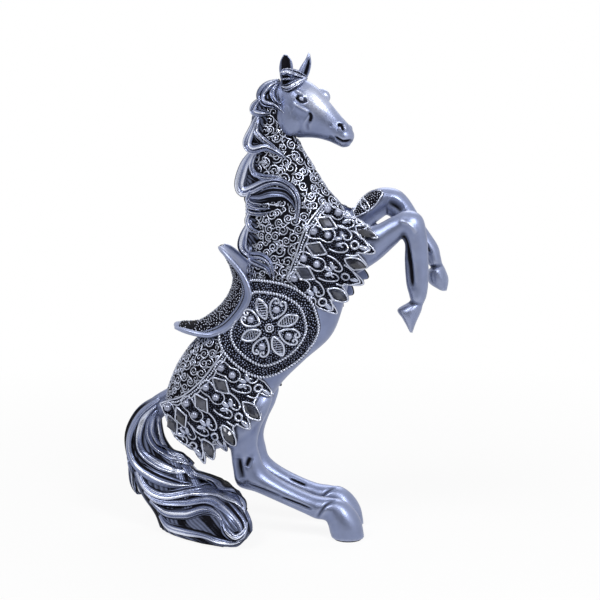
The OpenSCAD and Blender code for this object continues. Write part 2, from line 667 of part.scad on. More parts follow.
module mane() {
    function place(i) = MANE_FROM + (MANE_TO - MANE_FROM) * i / MANE_ROWS;
    function from_crest(i, k) = mane_reach(place(i)) * (2 * k / MANE_ACROSS - 1);
    function spot(i, k, lift) = on_section(curve(trunk_rows, place(i)), 90 + from_crest(i, k), lift);
    function flat(p) = [p[0], p[2]];
    function raised(i, k) =
        let (
            crest = flat(on_section(curve(trunk_rows, place(i)), 90)),
            over = flat(on_section(curve(trunk_rows, place(i)), 90, 1)),
            past = past_crest(crest, over - crest) * near_crest(abs(from_crest(i, k)))
        )
        max(past, lock_relief(MANE_LOCKS_FINE, flat(spot(i, k, glue_line)))) * min(1, i / 5);
    function outside(i, k) = spot(i, k, glue_line + mane_t + raised(i, k));
    color(RESIN)
        slab(
            [for (i = [0:MANE_ROWS]) [for (k = [0:MANE_ACROSS]) outside(i, k)]],
            [for (i = [0:MANE_ROWS]) [for (k = [0:MANE_ACROSS]) spot(i, k, glue_line)]]
        );
}

module foreleg_right() {
    color(RESIN)
        difference() {
            loft(fore_right_rows, steps = LEG_STEPS);
            torso_form();
            bore(fore_right_pin_ends, pin_d);
        }
}

module foreleg_left() {
    color(RESIN)
        difference() {
            loft(fore_left_rows, steps = LEG_STEPS);
            torso_form();
            bore(fore_left_pin_ends, pin_d);
        }
}

module hind_leg_right() {
    color(RESIN)
        difference() {
            loft(hind_right_rows, steps = LEG_STEPS, low = pad_t);
            torso_form();
            bore(hind_pin_ends, pin_d);
        }
}

module hind_leg_left() {
    color(RESIN)
        difference() {
            loft(hind_left_rows, steps = LEG_STEPS, low = pad_t);
            torso_form();
            mirror([0, 1, 0])
                bore(hind_pin_ends, pin_d);
        }
}

// Tail: a curved form that is raised into locks
TAIL_LOCKS_FINE = lock_fine(tail_lock_paths);

module tail_form(sides, steps) {
    rings = (len(tail_rows) - 1) * steps + 1;
    points = [for (i = [0:rings - 1], k = [0:sides - 1])
        let (
            r = curve(tail_rows, i / steps),
            a = 360 * k / sides,
            p = on_section(r, a),
            lift = lock_relief(TAIL_LOCKS_FINE, [p[0], p[2]]) - tail_hollow
        )
        above(on_section(r, a, lift * min(1, 4 * i / (rings - 1))), pad_t)];
    polyhedron(points, tube_faces(rings, sides, turn(tail_rows)));
}

module tail() {
    color(RESIN)
        difference() {
            tail_form(44, STEPS);
            torso_form();
            bore(tail_pin_ends, pin_d);
        }
}

// Seat shaped like a crescent, both ends standing clear of the back
SEAT_RIM = 0.45;

module saddle_seat() {
    count = 24;
    across = 6;
    function row(i) = share(seat_rows, i / count);
    function spot(r, k, lift) =
        let (sec = curve(trunk_rows, r[0]), y = r[3] * (1 - 2 * k / across))
        on_section(sec, acos(y / sec[4]), glue_line + r[2] + lift);
    function swell(k) = SEAT_RIM + (1 - SEAT_RIM) * (1 - pow(2 * k / across - 1, 4));
    color(RESIN)
        difference() {
            slab(
                [for (i = [0:count]) let (r = row(i)) [for (k = [0:across])
                    spot(r, k, (r[1] - r[2]) * swell(k))]],
                [for (i = [0:count]) let (r = row(i)) [for (k = [0:across]) spot(r, k, 0)]]
            );
            saddle_pin_bores();
        }
}

module saddle_flap(hand) {
    rings = rings_of(flap_outline, flap_middle, 4, 40);
    color(DARK_RESIN)
        difference() {
            on_hand(hand)
                shell(
                    [for (r = rings) [for (p = r) at_side(p, glue_line + flap_t, hand)]],
                    [for (r = rings) [for (p = r) at_side(p, glue_line, hand)]]
                );
            torso_form();
        }
}

// Drapes are cut back where the leg or the trunk swells through them
module breast_drape(hand) {
    color(DARK_RESIN)
        difference() {
            on_hand(hand)
                drape(breast_upper, breast_lower, breast_lobes, hand);
            loft(hand == RIGHT ? fore_right_rows : fore_left_rows, steps = LEG_STEPS);
            torso_form();
        }
}

module rump_drape(hand) {
    color(DARK_RESIN)
        difference() {
            on_hand(hand)
                drape(rump_upper, rump_lower, rump_lobes, hand);
            loft(hand == RIGHT ? hind_right_rows : hind_left_rows, steps = LEG_STEPS, low = pad_t);
            torso_form();
        }
}

// Way a drape hangs at a share of its length, in degrees
function hang(upper, lower, along) =
    let (v = share(lower, along) - share(upper, along)) atan2(v[1], v[0]);

// Set pieces on both sides
module on_both_sides() {
    for (hand = [RIGHT, LEFT])
        on_hand(hand) {
            $hand = hand;
            children();
        }
}

// Set pieces on both sides, trimmed where a fold of their drape reaches into their backs
module on_both_drapes(upper, lower, lobes) {
    for (hand = [RIGHT, LEFT])
        difference() {
            on_hand(hand) {
                $hand = hand;
                children();
            }
            on_hand(hand)
                drape(upper, lower, lobes, hand);
        }
}

// Diamond stones, each pointing the way its drape hangs
module diamonds(upper, lower, lobes, spots) {
    color(STONE)
        on_both_drapes(upper, lower, lobes)
            for (s = spots)
                diamond(drape_point(upper, lower, s[0], s[1]), hang(upper, lower, s[0]), $hand);
}

module drape_pearls(upper, lower, lobes, spots) {
    color(PEARL)
        on_both_drapes(upper, lower, lobes)
            for (s = spots)
                pearl(drape_point(upper, lower, s[0], s[1]), on_drape, $hand);
}

// Leaf stones near the lobes, pointing down and out
module leaf_stones(upper, lower, lobes, spots) {
    color(STONE)
        on_both_drapes(upper, lower, lobes)
            for (s = spots)
                leaf_stone(drape_point(upper, lower, s[0], s[1]), hang(upper, lower, s[0]), $hand);
}

module breast_diamonds() {
    diamonds(breast_upper, breast_lower, breast_lobes, breast_diamond_spots);
}

module rump_diamonds() {
    diamonds(rump_upper, rump_lower, rump_lobes, rump_diamond_spots);
}

module breast_pearls() {
    drape_pearls(breast_upper, breast_lower, breast_lobes, breast_pearl_spots);
}

module rump_pearls() {
    drape_pearls(rump_upper, rump_lower, rump_lobes, rump_pearl_spots);
}

module breast_leaf_stones() {
    leaf_stones(breast_upper, breast_lower, breast_lobes, breast_leaf_spots);
}

module rump_leaf_stones() {
    leaf_stones(rump_upper, rump_lower, rump_lobes, rump_leaf_spots);
}

module flap_pearls() {
    color(PEARL)
        on_both_sides()
            for (p = flap_pearl_places)
                pearl(p, on_flap, $hand);
}

module neck_dowel() {
    color(STEEL)
        bar(neck_dowel_ends[0], neck_dowel_ends[1], dowel_d);
}

module head_dowel() {
    color(STEEL)
        bar(head_dowel_ends[0], head_dowel_ends[1], dowel_d);
}

module foreleg_pins() {
    color(STEEL) {
        bar(fore_right_pin_ends[0], fore_right_pin_ends[1], pin_d);
        bar(fore_left_pin_ends[0], fore_left_pin_ends[1], pin_d);
    }
}

module hind_leg_rods() {
    color(STEEL)
        both_sides()
            bar(hind_pin_ends[0], hind_pin_ends[1], pin_d);
}

module tail_pin() {
    color(STEEL)
        bar(tail_pin_ends[0], tail_pin_ends[1], pin_d);
}

module saddle_pins() {
    color(STEEL)
        for (t = saddle_pin_places)
            bar(back_point(t, -SADDLE_PIN_IN), back_point(t, SADDLE_PIN_OUT), saddle_pin_d);
}

PAD_SIDES = 32;
function pad_outline(sole) = [for (k = [0:PAD_SIDES - 1]) let (a = 360 * k / PAD_SIDES)
    [(sole[0] + sole[2]) / 2 + ((sole[0] - sole[2]) / 2 - pad_inset) * cos(a),
        sole[5] + (sole[4] - pad_inset) * sin(a)]];

module hoof_pads() {
    color(FELT)
        for (rows = [hind_right_rows, hind_left_rows])
            linear_extrude(pad_t)
                polygon(pad_outline(rows[len(rows) - 1]));
}

tail_pad_outline = [[-73, -6], [-72, -18], [-66, -24], [-58, -30], [-46, -37], [-32, -42], [-30, -32],
    [-44, -23], [-56, -14], [-66, -8]];

module tail_pad() {
    color(FELT)
        linear_extrude(pad_t)
            polygon(tail_pad_outline);
}

module place() {
    translate([middle_x, mid_plane_y, 0])
        children();
}

place() torso();
place() neck();
place() head();
place() ear(ear_right_rows);  // ear_right
place() ear(ear_left_rows);  // ear_left
place() forelock();
place() mane();
place() foreleg_right();
place() foreleg_left();
place() hind_leg_right();
place() hind_leg_left();
place() tail();
place() saddle_seat();
place() saddle_flap(RIGHT);  // saddle_flap_right
place() saddle_flap(LEFT);  // saddle_flap_left
place() breast_drape(RIGHT);  // breast_drape_right
place() breast_drape(LEFT);  // breast_drape_left
place() rump_drape(RIGHT);  // rump_drape_right
place() rump_drape(LEFT);  // rump_drape_left
place() breast_diamonds();
place() rump_diamonds();
place() breast_pearls();
place() rump_pearls();
place() flap_pearls();
place() breast_leaf_stones();
place() rump_leaf_stones();
place() neck_dowel();
place() head_dowel();
place() foreleg_pins();
place() hind_leg_rods();
place() tail_pin();
place() saddle_pins();
place() hoof_pads();
place() tail_pad();
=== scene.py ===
import math

import bmesh
import bpy
import numpy as np
from bpy.props import FloatProperty, FloatVectorProperty, IntProperty, PointerProperty
from mathutils import Matrix, Vector
from mathutils.bvhtree import BVHTree


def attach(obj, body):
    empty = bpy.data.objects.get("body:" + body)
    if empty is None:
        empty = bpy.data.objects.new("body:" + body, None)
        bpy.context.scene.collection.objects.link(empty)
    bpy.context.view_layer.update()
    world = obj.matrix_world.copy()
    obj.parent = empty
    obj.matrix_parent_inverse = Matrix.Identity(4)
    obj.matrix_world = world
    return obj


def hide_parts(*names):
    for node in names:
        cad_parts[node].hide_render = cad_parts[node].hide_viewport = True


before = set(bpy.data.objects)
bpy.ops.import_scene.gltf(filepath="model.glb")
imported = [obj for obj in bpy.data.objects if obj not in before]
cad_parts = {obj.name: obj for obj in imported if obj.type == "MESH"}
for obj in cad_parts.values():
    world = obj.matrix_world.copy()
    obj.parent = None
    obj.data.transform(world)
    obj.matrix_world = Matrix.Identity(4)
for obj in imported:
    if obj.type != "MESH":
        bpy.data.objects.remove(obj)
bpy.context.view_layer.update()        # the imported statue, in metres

bl_info = {
    "name": "Rearing Horse Statue",
    "version": (1, 0, 0),
    "blender": (4, 5, 0),
    "location": "View3D > Sidebar > Statue",
    "description": "Dresses the castings of a rearing horse in antiqued silver resin",
    "category": "Add Mesh",
}

MM = 0.001

# Everything is drawn in millimetres with the horse's mid plane at y = 0 and the ground at z = 0
PLACE = np.array((2.3, 9.0, 0.0))
RIGHT = -1
LEFT = 1
SEED = 7

# Stations: one edge (x, z), the opposite edge (x, z), half the width, and y of the section
TRUNK_ROWS = np.array([
    (-72, 62, -65, 52, 3, 0), (-76, 75, -57, 48, 9, 0), (-75, 85, -38, 52, 18, 0),
    (-69, 101, -19, 69, 23, 0), (-60, 115, -9, 84, 23, 0), (-48, 127, -1, 95, 22, 0),
    (-34, 140, 12, 108, 23, 0), (-26, 154, 27, 122, 23, 0), (-23, 168, 34, 138, 23, 0),
    (-22, 181, 39, 161, 21, 0), (-22, 194, 40, 182, 20, 0), (-22, 205, 35, 200, 16, 0),
    (-22, 217, 24, 214, 13.5, 0), (-21, 229, 16, 227, 11, 0), (-20, 243, 10, 236, 10, 0),
    (-16, 261, 8, 241, 9, 0), (-6, 275, 6, 244, 9, 0),
])
NECK_ROOT = 11
HEAD_ROWS = np.array([
    (-6, 275, 6, 244, 9, 0), (1, 278, 8, 243, 10, 0), (10, 278, 12, 243, 10.5, 0),
    (19, 273, 16, 243, 9, 0), (27, 264, 21, 242.5, 7.4, 0), (33, 257, 27, 241, 6.8, 0),
    (39, 250.5, 32, 239, 7, 0), (41.5, 246, 36, 237.5, 6, 0), (41.5, 242.5, 39, 239, 3, 0),
])
HEAD_TURN = math.radians(16)
FORE_RIGHT_ROWS = np.array([
    (26, 186, 26, 158, 9, -8), (42, 190, 42, 162, 9.5, -14), (55, 192, 56, 170, 9, -14),
    (65, 197, 67, 180, 8, -14), (75, 201, 71, 184, 8, -14), (83, 197, 72, 183, 8, -14),
    (86, 185, 73, 180, 7.5, -14), (87, 171, 73, 171, 6.5, -14), (87, 158, 74, 158, 6.5, -14),
    (86, 150, 76, 150, 6.5, -14), (84, 145, 76, 147, 6, -14), (83, 141, 69, 142, 8, -14),
    (80, 134, 72, 137, 8, -14), (78, 128, 76, 130, 5, -14),
])
FORE_LEFT_ROWS = np.array([
    (22, 194, 25, 168, 9, 8), (37, 198, 40, 177, 9, 14), (45, 206, 51, 189, 8.5, 14),
    (54, 212, 61, 197, 8, 14), (65, 212, 60, 196, 8, 14), (73, 206, 63, 194, 7.5, 14),
    (83, 190, 71, 185, 6.5, 14), (91, 178, 81, 173, 6.5, 14), (93, 171, 85, 167, 6.5, 14),
    (94, 167, 87, 164, 6, 14), (96, 163, 85, 162, 8, 14), (98, 157, 86, 155, 8, 14),
    (97, 150, 92, 151, 5, 14),
])
HIND_RIGHT_ROWS = np.array([
    (-15, 98, -49, 71, 10, -7), (-7, 89, -44, 61, 11, -12), (-9, 78, -37, 56, 10.5, -14),
    (-14, 67, -33, 54, 9, -14), (-16, 57, -32, 50, 8.5, -14), (-14, 49, -31, 42, 8.5, -14),
    (-11, 42, -28, 31, 8.5, -14), (-3, 36, -16, 27, 7.5, -14), (9, 30, 1, 20, 7, -14),
    (20, 26, 13, 15, 7, -14), (28, 25, 20, 12, 7.5, -14), (36, 24, 26, 11, 7.5, -14),
    (43, 19, 28, 8, 9, -14), (48, 11, 29, 4, 10, -14), (50, 1, 30, 1, 10, -14),
])
HIND_LEFT_BACK = 3.0
TAIL_ROWS = np.array([
    (-74, 88, -70, 75, 6, 0), (-86, 81, -77, 69, 7, 0), (-97, 70, -80, 63.5, 9, 0),
    (-103, 55, -79, 56, 11, 0), (-103, 41, -74, 48, 12, 0), (-98, 30, -63, 44.5, 13, -2),
    (-92, 19, -56, 38.5, 14, -5), (-84, 7, -48, 30, 15, -6), (-76, -5, -37, 29, 16, -13),
    (-60, -6, -28, 30, 15, -24), (-43, -6, -21, 26, 13, -33), (-28, -4, -15, 18, 9, -38),
    (-19, 4, -14, 11, 4, -39),
])
EAR_RIGHT_ROWS = np.array([
    (4, 270, -2, 269, 2.5, -6), (4.5, 277, -2.2, 276, 2.5, -6), (5.3, 283, -3.1, 283, 2.3, -6.5),
    (4.6, 288, -2.4, 288.3, 1.7, -6.5), (1.8, 291.8, -0.4, 292, 0.7, -6.5),
])
EAR_LEFT_ROWS = np.array([
    (9, 269, 3, 270, 2.5, 6), (11, 276, 5, 278, 2.5, 6), (13.5, 282, 7.5, 284.5, 2.3, 6.5),
    (14.5, 287.5, 10.5, 289, 1.7, 6.5), (13.6, 293, 12.6, 293.5, 0.6, 6.5),
])
# Seat: place along the trunk, height over the back, gap under it, half width
SEAT_ROWS = np.array([
    (4.4, 17, 15, 6), (4.7, 11, 7.5, 11.5), (5, 6.5, 1.5, 14.5), (5.5, 5, 0, 17), (6, 5, 0, 17.5),
    (6.5, 5.4, 0, 17.5), (7, 7, 0.4, 16.5), (7.5, 12, 4, 13), (7.9, 18, 14, 7.5), (8, 21, 19.5, 4),
])
FLAP_OUTLINE = np.array([
    (-19, 159), (-26, 149), (-34, 137), (-39, 124), (-32, 111), (-12, 99), (10, 109), (22, 126),
    (22, 139), (17, 150), (3, 158),
])
FLAP_MIDDLE = np.array((-6.2, 131.0))
BREAST_UPPER = np.array([(24, 204), (15, 191), (9, 174), (5, 163)])
BREAST_LOWER = np.array([(52, 190), (51, 175), (44, 157), (30, 143)])
RUMP_UPPER = np.array([(-38, 111), (-48, 98), (-61, 87), (-76, 81)])
RUMP_LOWER = np.array([(-9, 88), (-17, 74), (-33, 59), (-50, 49), (-66, 58)])
DRAPE_LEAST = 13.0
GROUND_UNDER_FOOT = 1.0


# Curves and sections

def curve(rows, t):
    """Points of a smooth curve through rows, at t from 0 to the last row."""
    rows = np.asarray(rows, float)
    t = np.asarray(t, float)
    last = len(rows) - 1
    i = np.clip(np.floor(t).astype(int), 0, last - 1)
    f = (t - i)[..., None]
    a, b = rows[np.maximum(i - 1, 0)], rows[i]
    c, d = rows[i + 1], rows[np.minimum(i + 2, last)]
    bend = f**2 * (2 * a - 5 * b + 4 * c - d) + f**3 * (3 * b - a - 3 * c + d)
    return 0.5 * (2 * b + f * (c - a) + bend)


def share(rows, f):
    """Points of a curve at shares of its length, counted in rows."""
    return curve(rows, np.asarray(f, float) * (len(rows) - 1))


def closed_share(rows, f):
    """Points of a closed curve at shares of the way round."""
    rows = np.asarray(rows, float)
    wrapped = np.concatenate([rows[-1:], rows, rows[:2]])
    return curve(wrapped, 1 + np.asarray(f, float) * len(rows))


def on_section(r, angle, lift=0.0):
    """Points of sections at an angle, lifted off the surface; 90 degrees is the first edge."""
    half = np.stack([(r[..., 0] - r[..., 2]) / 2, 0 * r[..., 0], (r[..., 1] - r[..., 3]) / 2], -1)
    middle = np.stack([(r[..., 0] + r[..., 2]) / 2, r[..., 5], (r[..., 1] + r[..., 3]) / 2], -1)
    size = np.linalg.norm(half, axis=-1)
    out = middle + half * ((1 + lift / size) * np.sin(angle))[..., None]
    out[..., 1] += (r[..., 4] + lift) * np.cos(angle)
    return out


def step_up(low, high, x):
    """Smooth step from 0 at low to 1 at high."""
    f = np.clip((np.asarray(x, float) - low) / (high - low), 0, 1)
    return f * f * (3 - 2 * f)


def soften(field, rounds):
    """Smooths a grid of numbers along both of its directions."""
    for _ in range(rounds):
        for axis in (0, 1):
            edge = [(1, 1) if a == axis else (0, 0) for a in range(2)]
            wide = np.pad(field, edge, mode="edge")
            low = np.take(wide, range(0, field.shape[axis]), axis)
            high = np.take(wide, range(2, field.shape[axis] + 2), axis)
            field = (low + 2 * field + high) / 4
    return field


def filled(field):
    """Grid of numbers whose gaps take the mean of what lies beside them, or 0 where nothing does."""
    if np.isnan(field).all():
        return np.zeros_like(field)
    while np.isnan(field).any():
        wide = np.pad(field, 1, constant_values=np.nan)
        near = np.stack([wide[:-2, 1:-1], wide[2:, 1:-1], wide[1:-1, :-2], wide[1:-1, 2:]])
        count = (~np.isnan(near)).sum(axis=0)
        mean = np.nansum(near, axis=0) / np.where(count > 0, count, np.nan)
        field = np.where(np.isnan(field), mean, field)
    return field


def unit(v):
    return v / np.maximum(np.linalg.norm(v, axis=-1, keepdims=True), 1e-9)


def round_angles(count):
    """Angles evenly round a circle."""
    return np.linspace(0, 2 * math.pi, count, endpoint=False)


# Closed shapes, as points and faces

LOFT_STEPS = 10
BAR_SIDES = 12


def tube(grid):
    """Closed tube through rings of points."""
    rings, sides = grid.shape[:2]
    faces = []
    for i in range(rings - 1):
        for k in range(sides):
            n = (k + 1) % sides
            faces.append((i * sides + k, (i + 1) * sides + k, (i + 1) * sides + n, i * sides + n))
    faces.append(tuple(range(sides)))
    faces.append(tuple(range((rings - 1) * sides, rings * sides)))
    return grid.reshape(-1, 3), faces


def slab(outer, inner):
    """Closed sheet between two grids of points."""
    rows, cols = outer.shape[:2]
    count = rows * cols
    faces = []
    for i in range(rows - 1):
        for j in range(cols - 1):
            a = i * cols + j
            faces.append((a, a + cols, a + cols + 1, a + 1))
            faces.append((count + a, count + a + 1, count + a + cols + 1, count + a + cols))
    rim = list(range(cols)) + [i * cols + cols - 1 for i in range(1, rows)]
    rim += [(rows - 1) * cols + j for j in range(cols - 2, -1, -1)]
    rim += [i * cols for i in range(rows - 2, 0, -1)]
    for k, a in enumerate(rim):
        b = rim[(k + 1) % len(rim)]
        faces.append((a, b, count + b, count + a))
    return np.concatenate([outer.reshape(-1, 3), inner.reshape(-1, 3)]), faces


def loft(rows, sides, low=None):
    """Closed form through stations, kept over the lowest height."""
    t = np.linspace(0, len(rows) - 1, (len(rows) - 1) * LOFT_STEPS + 1)
    grid = on_section(curve(rows, t)[:, None, :], round_angles(sides)[None, :])
    if low is not None:
        grid[..., 2] = np.maximum(grid[..., 2], low)
    return tube(grid)


def ball(centre, radii, tilt):
    """Egg with its own radii, tilted about y by degrees."""
    build = bmesh.new()
    bmesh.ops.create_icosphere(build, subdivisions=4, radius=1.0)
    points = np.array([v.co[:] for v in build.verts]) * np.array(radii)
    faces = [tuple(v.index for v in f.verts) for f in build.faces]
    build.free()
    a = math.radians(tilt)
    x = points[:, 0] * math.cos(a) - points[:, 2] * math.sin(a)
    z = points[:, 0] * math.sin(a) + points[:, 2] * math.cos(a)
    return np.stack([x, points[:, 1], z], -1) + np.array(centre), faces


def sweep(path, radii):
    """Round bar along a line of points in space."""
    along = unit(np.gradient(path, axis=0))
    first = unit(np.cross(along, np.array((0.0, 1.0, 0.03))))
    second = np.cross(along, first)
    angle = round_angles(BAR_SIDES)[None, :, None]
    ring = first[:, None, :] * np.cos(angle) + second[:, None, :] * np.sin(angle)
    return tube(path[:, None, :] + radii[:, None, None] * ring)


def joined(shapes):
    """Several shapes as one list of points and faces."""
    points, faces, base = [], [], 0
    for some_points, some_faces in shapes:
        points.append(some_points)
        faces += [tuple(i + base for i in face) for face in some_faces]
        base += len(some_points)
    return np.concatenate(points), faces


def to_mesh(points, faces, edges=()):
    """Blender mesh in the drawing's millimetres."""
    mesh = bpy.data.meshes.new("shape")
    mesh.from_pydata([tuple(p) for p in points], list(edges), faces)
    return mesh


def outwards(mesh):
    """Turns all faces of a closed mesh outwards."""
    build = bmesh.new()
    build.from_mesh(mesh)
    bmesh.ops.recalc_face_normals(build, faces=build.faces[:])
    build.to_mesh(mesh)
    build.free()
    return mesh


def stood(name, data):
    """New object in the scene."""
    made = bpy.data.objects.new(name, data)
    bpy.context.scene.collection.objects.link(made)
    return made


class Clay:
    """Skin of a casting while it is modelled, in the drawing's millimetres."""

    SMOOTH = 0.6
    SWELL = 0.5
    STROKE_FINE = 8
    WASH_ROUNDS = 6

    def __init__(self, mesh):
        self.mesh = mesh
        self.points = np.zeros(len(mesh.vertices) * 3)
        mesh.vertices.foreach_get("co", self.points)
        self.points = self.points.reshape(-1, 3)
        edges = np.zeros(len(mesh.edges) * 2, int)
        mesh.edges.foreach_get("vertices", edges)
        self.edges = edges.reshape(-1, 2)
        self.dark = np.zeros(len(self.points))

    @classmethod
    def of(cls, points, faces):
        """Skin of one closed shape as it is."""
        return cls(outwards(to_mesh(points, faces)))

    @classmethod
    def cast(cls, shapes, voxel, rounds):
        """Melts closed shapes into one skin."""
        host = stood("melt", outwards(to_mesh(*joined(shapes))))
        step = host.modifiers.new("melt", "REMESH")
        step.mode = "VOXEL"
        step.voxel_size = voxel
        graph = bpy.context.evaluated_depsgraph_get()
        mesh = bpy.data.meshes.new_from_object(host.evaluated_get(graph), depsgraph=graph)
        raw = host.data
        bpy.data.objects.remove(host)
        bpy.data.meshes.remove(raw)
        clay = cls(mesh)
        clay.relax(rounds)
        return clay

    def near_mean(self, values):
        """Mean of each point's neighbours."""
        a, b = self.edges.T
        count = np.bincount(self.edges.ravel(), minlength=len(self.points))
        out = np.zeros_like(values)
        for axis in range(values.shape[1]):
            sums = np.bincount(a, values[b, axis], len(self.points))
            out[:, axis] = sums + np.bincount(b, values[a, axis], len(self.points))
        return out / np.maximum(count, 1)[:, None]

    def relax(self, rounds):
        """Smooths the skin, and swells it back so that it doesn't shrink."""
        for _ in range(rounds):
            self.points = self.points + self.SMOOTH * (self.near_mean(self.points) - self.points)
            self.points = self.points - self.SWELL * (self.near_mean(self.points) - self.points)

    def normals(self):
        self.mesh.vertices.foreach_set("co", self.points.ravel())
        self.mesh.update()
        out = np.zeros(len(self.points) * 3)
        self.mesh.vertex_normals.foreach_get("vector", out)
        return out.reshape(-1, 3)

    def touched(self, path, width, hand, fade):
        """How much each point lies under a stroke along a path seen from the side."""
        line = share(path, np.linspace(0, 1, self.STROKE_FINE * len(path)))
        near, along = nearest_on(line, self.points[:, (0, 2)])
        weight = np.exp(-(near / (0.5 * width)) ** 2)
        if fade:
            weight = weight * np.sqrt(np.sin(np.pi * np.clip(along, 0.02, 0.98)))
        if hand:
            weight = weight * np.clip(0.1 + 1.6 * hand * self.normals()[:, 1], 0, 1)
        return weight

    def carve(self, path, width, depth, hand=0, dark=0.0, fade=True):
        """Presses a groove along a path seen from the side; a negative depth raises a ridge."""
        weight = self.touched(path, width, hand, fade)
        self.points = self.points - self.normals() * (depth * weight)[:, None]
        self.dark = np.maximum(self.dark, dark * weight)

    def carve_all(self, strokes, hand, shift=0.0):
        """Carves strokes on one side, moved along x."""
        for path, width, depth, *wash in strokes:
            self.carve(np.array(path) + (shift, 0.0), width, depth, hand, *wash)

    def paint_highlight(self, path, width, bright, hand):
        """Paints a highlight, a brighter finish, along a path seen from the side."""
        self.dark = self.dark - bright * self.touched(path, width, hand, True)

    def antique(self, strength):
        """Lets the dark wash settle in the hollows, and paints a slight highlight on the bumps."""
        soft = self.points
        for _ in range(self.WASH_ROUNDS):
            soft = self.near_mean(soft)
        hollow = np.sum((soft - self.points) * self.normals(), axis=1)
        self.dark = np.clip(self.dark + strength * np.clip(hollow, -0.3, 1), -1, 1)

    def skin(self):
        return Skin(self.points, [tuple(f.vertices) for f in self.mesh.polygons])

    def in_metres(self, mesh):
        mesh.vertices.foreach_set("co", ((self.points + PLACE) * MM).ravel())

    def ground(self, mask, values):
        """Copy of the skin in metres, with a mask of where ornament grows on it."""
        mesh = self.mesh.copy()
        self.in_metres(mesh)
        give(mesh, mask, values)
        return mesh

    def piece(self, name, finish):
        """Finished piece of the statue, in metres."""
        # Brings the normals up to date
        self.normals()
        self.in_metres(self.mesh)
        return dressed(name, self.mesh, finish, self.dark)


def nearest_on(line, spots):
    """Distance from spots to a line, both seen from the side, and the share along the line."""
    best = np.full(len(spots), 1e9)
    where = np.zeros(len(spots))
    for i in range(len(line) - 1):
        a, v = line[i], line[i + 1] - line[i]
        f = np.clip((spots - a) @ v / max(v @ v, 1e-9), 0, 1)
        gap = np.linalg.norm(spots - a - f[:, None] * v, axis=1)
        closer = gap < best
        best = np.where(closer, gap, best)
        where = np.where(closer, (i + f) / (len(line) - 1), where)
    return best, where


class Skin:
    """Surface that ornament is laid on, in the drawing's millimetres."""

    FAR = 200.0
    NEAR = 18.0

    def __init__(self, points, faces):
        self.tree = BVHTree.FromPolygons([tuple(p) for p in points], faces)

    def hit(self, x, z, hand):
        return self.tree.ray_cast((x, hand * self.FAR, z), (0, -hand, 0))[:2]

    def depth(self, flat, hand, least=0.0):
        """How far out the surface is at points seen from the side; its edge carries on past it."""
        out = np.full(flat.shape[:-1], np.nan if least is None else least)
        for index in np.ndindex(*out.shape):
            spot = self.hit(flat[index][0], flat[index][1], hand)[0]
            if spot is not None:
                out[index] = spot.y * hand if least is None else max(least, spot.y * hand)
        return filled(out)

    def lay(self, flat, hand, lift=0.0):
        """Points seen from the side, laid on the surface, with the way up at each."""
        points, ups = [], []
        for x, z in flat:
            spot, up = self.hit(x, z, hand)
            if spot is None:
                spot, up = self.tree.find_nearest((x, hand * self.NEAR, z))[:2]
            if up.y * hand < 0:
                up = -up
            points.append(spot + up * lift)
            ups.append(up)
        return np.array(points), np.array(ups)


class Lines:
    """Lines of wire or beading, with the way up and the thickness at each point."""

    def __init__(self):
        self.points, self.up, self.thick, self.edges = [], [], [], []

    def add(self, points, up, thick=1.0, closed=False):
        base, count = len(self.points), len(points)
        self.points += [tuple(p) for p in points]
        self.up += [tuple(u) for u in np.broadcast_to(up, (count, 3))]
        self.thick += [thick] * count
        self.edges += [(base + i, base + i + 1) for i in range(count - 1)]
        if closed:
            self.edges.append((base + count - 1, base))

    def draw(self, skin, hand, flat, thick=1.0, lift=0.0, closed=False):
        points, up = skin.lay(flat, hand, lift)
        self.add(points, up, thick, closed)

    def mesh(self):
        points = (np.array(self.points) + PLACE) * MM
        mesh = to_mesh(points, [], self.edges)
        give(mesh, "thickness", np.array(self.thick))
        give(mesh, "up", np.array(self.up))
        return mesh


class Settings:
    """Places where set pieces sit, with the way each is turned and its size."""

    def __init__(self):
        self.points, self.turn, self.size = [], [], []

    def set(self, skin, hand, flat, along, size, lift):
        """Sets a piece at a point seen from the side, with its length along a way seen so."""
        points, ups = skin.lay([flat], hand, lift)
        z = unit(ups[0])
        along = np.array((along[0], 0.0, along[1]))
        x = unit(along - z * (along @ z))
        self.points.append(tuple(points[0]))
        self.turn.append(tuple(Matrix((x, np.cross(z, x), z)).transposed().to_euler()))
        self.size.append(tuple(size))

    def mesh(self):
        points = (np.array(self.points) + PLACE) * MM
        mesh = to_mesh(points, [])
        give(mesh, "turn", np.array(self.turn))
        give(mesh, "size", np.array(self.size) * MM)
        return mesh


def give(mesh, name, values):
    """Stores numbers or vectors on a mesh's points."""
    kind = "FLOAT" if values.ndim == 1 else "FLOAT_VECTOR"
    layer = mesh.attributes.new(name, kind, "POINT")
    layer.data.foreach_set("value" if values.ndim == 1 else "vector", values.astype(float).ravel())


def dressed(name, mesh, finish, patina):
    """Object of a finished mesh, smooth shaded, with its wash, its painted light and its finish."""
    give(mesh, "patina", patina)
    mesh.polygons.foreach_set("use_smooth", np.ones(len(mesh.polygons), bool))
    mesh.materials.clear()
    mesh.materials.append(FINISHES[finish])
    mesh.name = name
    return stood(name, mesh)


def mount(piece, slot, *nodes):
    """Makes a piece part of the statue, in place of the nodes that it stands for."""
    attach(piece, "root")
    if nodes:
        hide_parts(*nodes)


# Skins kept for the ornament that is laid on them
SKINS = {}


def keep_casting(clay, name):
    """Keeps the skin of a casting, and makes it a piece of the statue."""
    SKINS[name] = clay.skin()
    mount(clay.piece(f"{name}_casting", "silver_skin"), "silver_resin", name)


# Node trees

WIRE_SIDES = 6
CURL_SIDES = 4

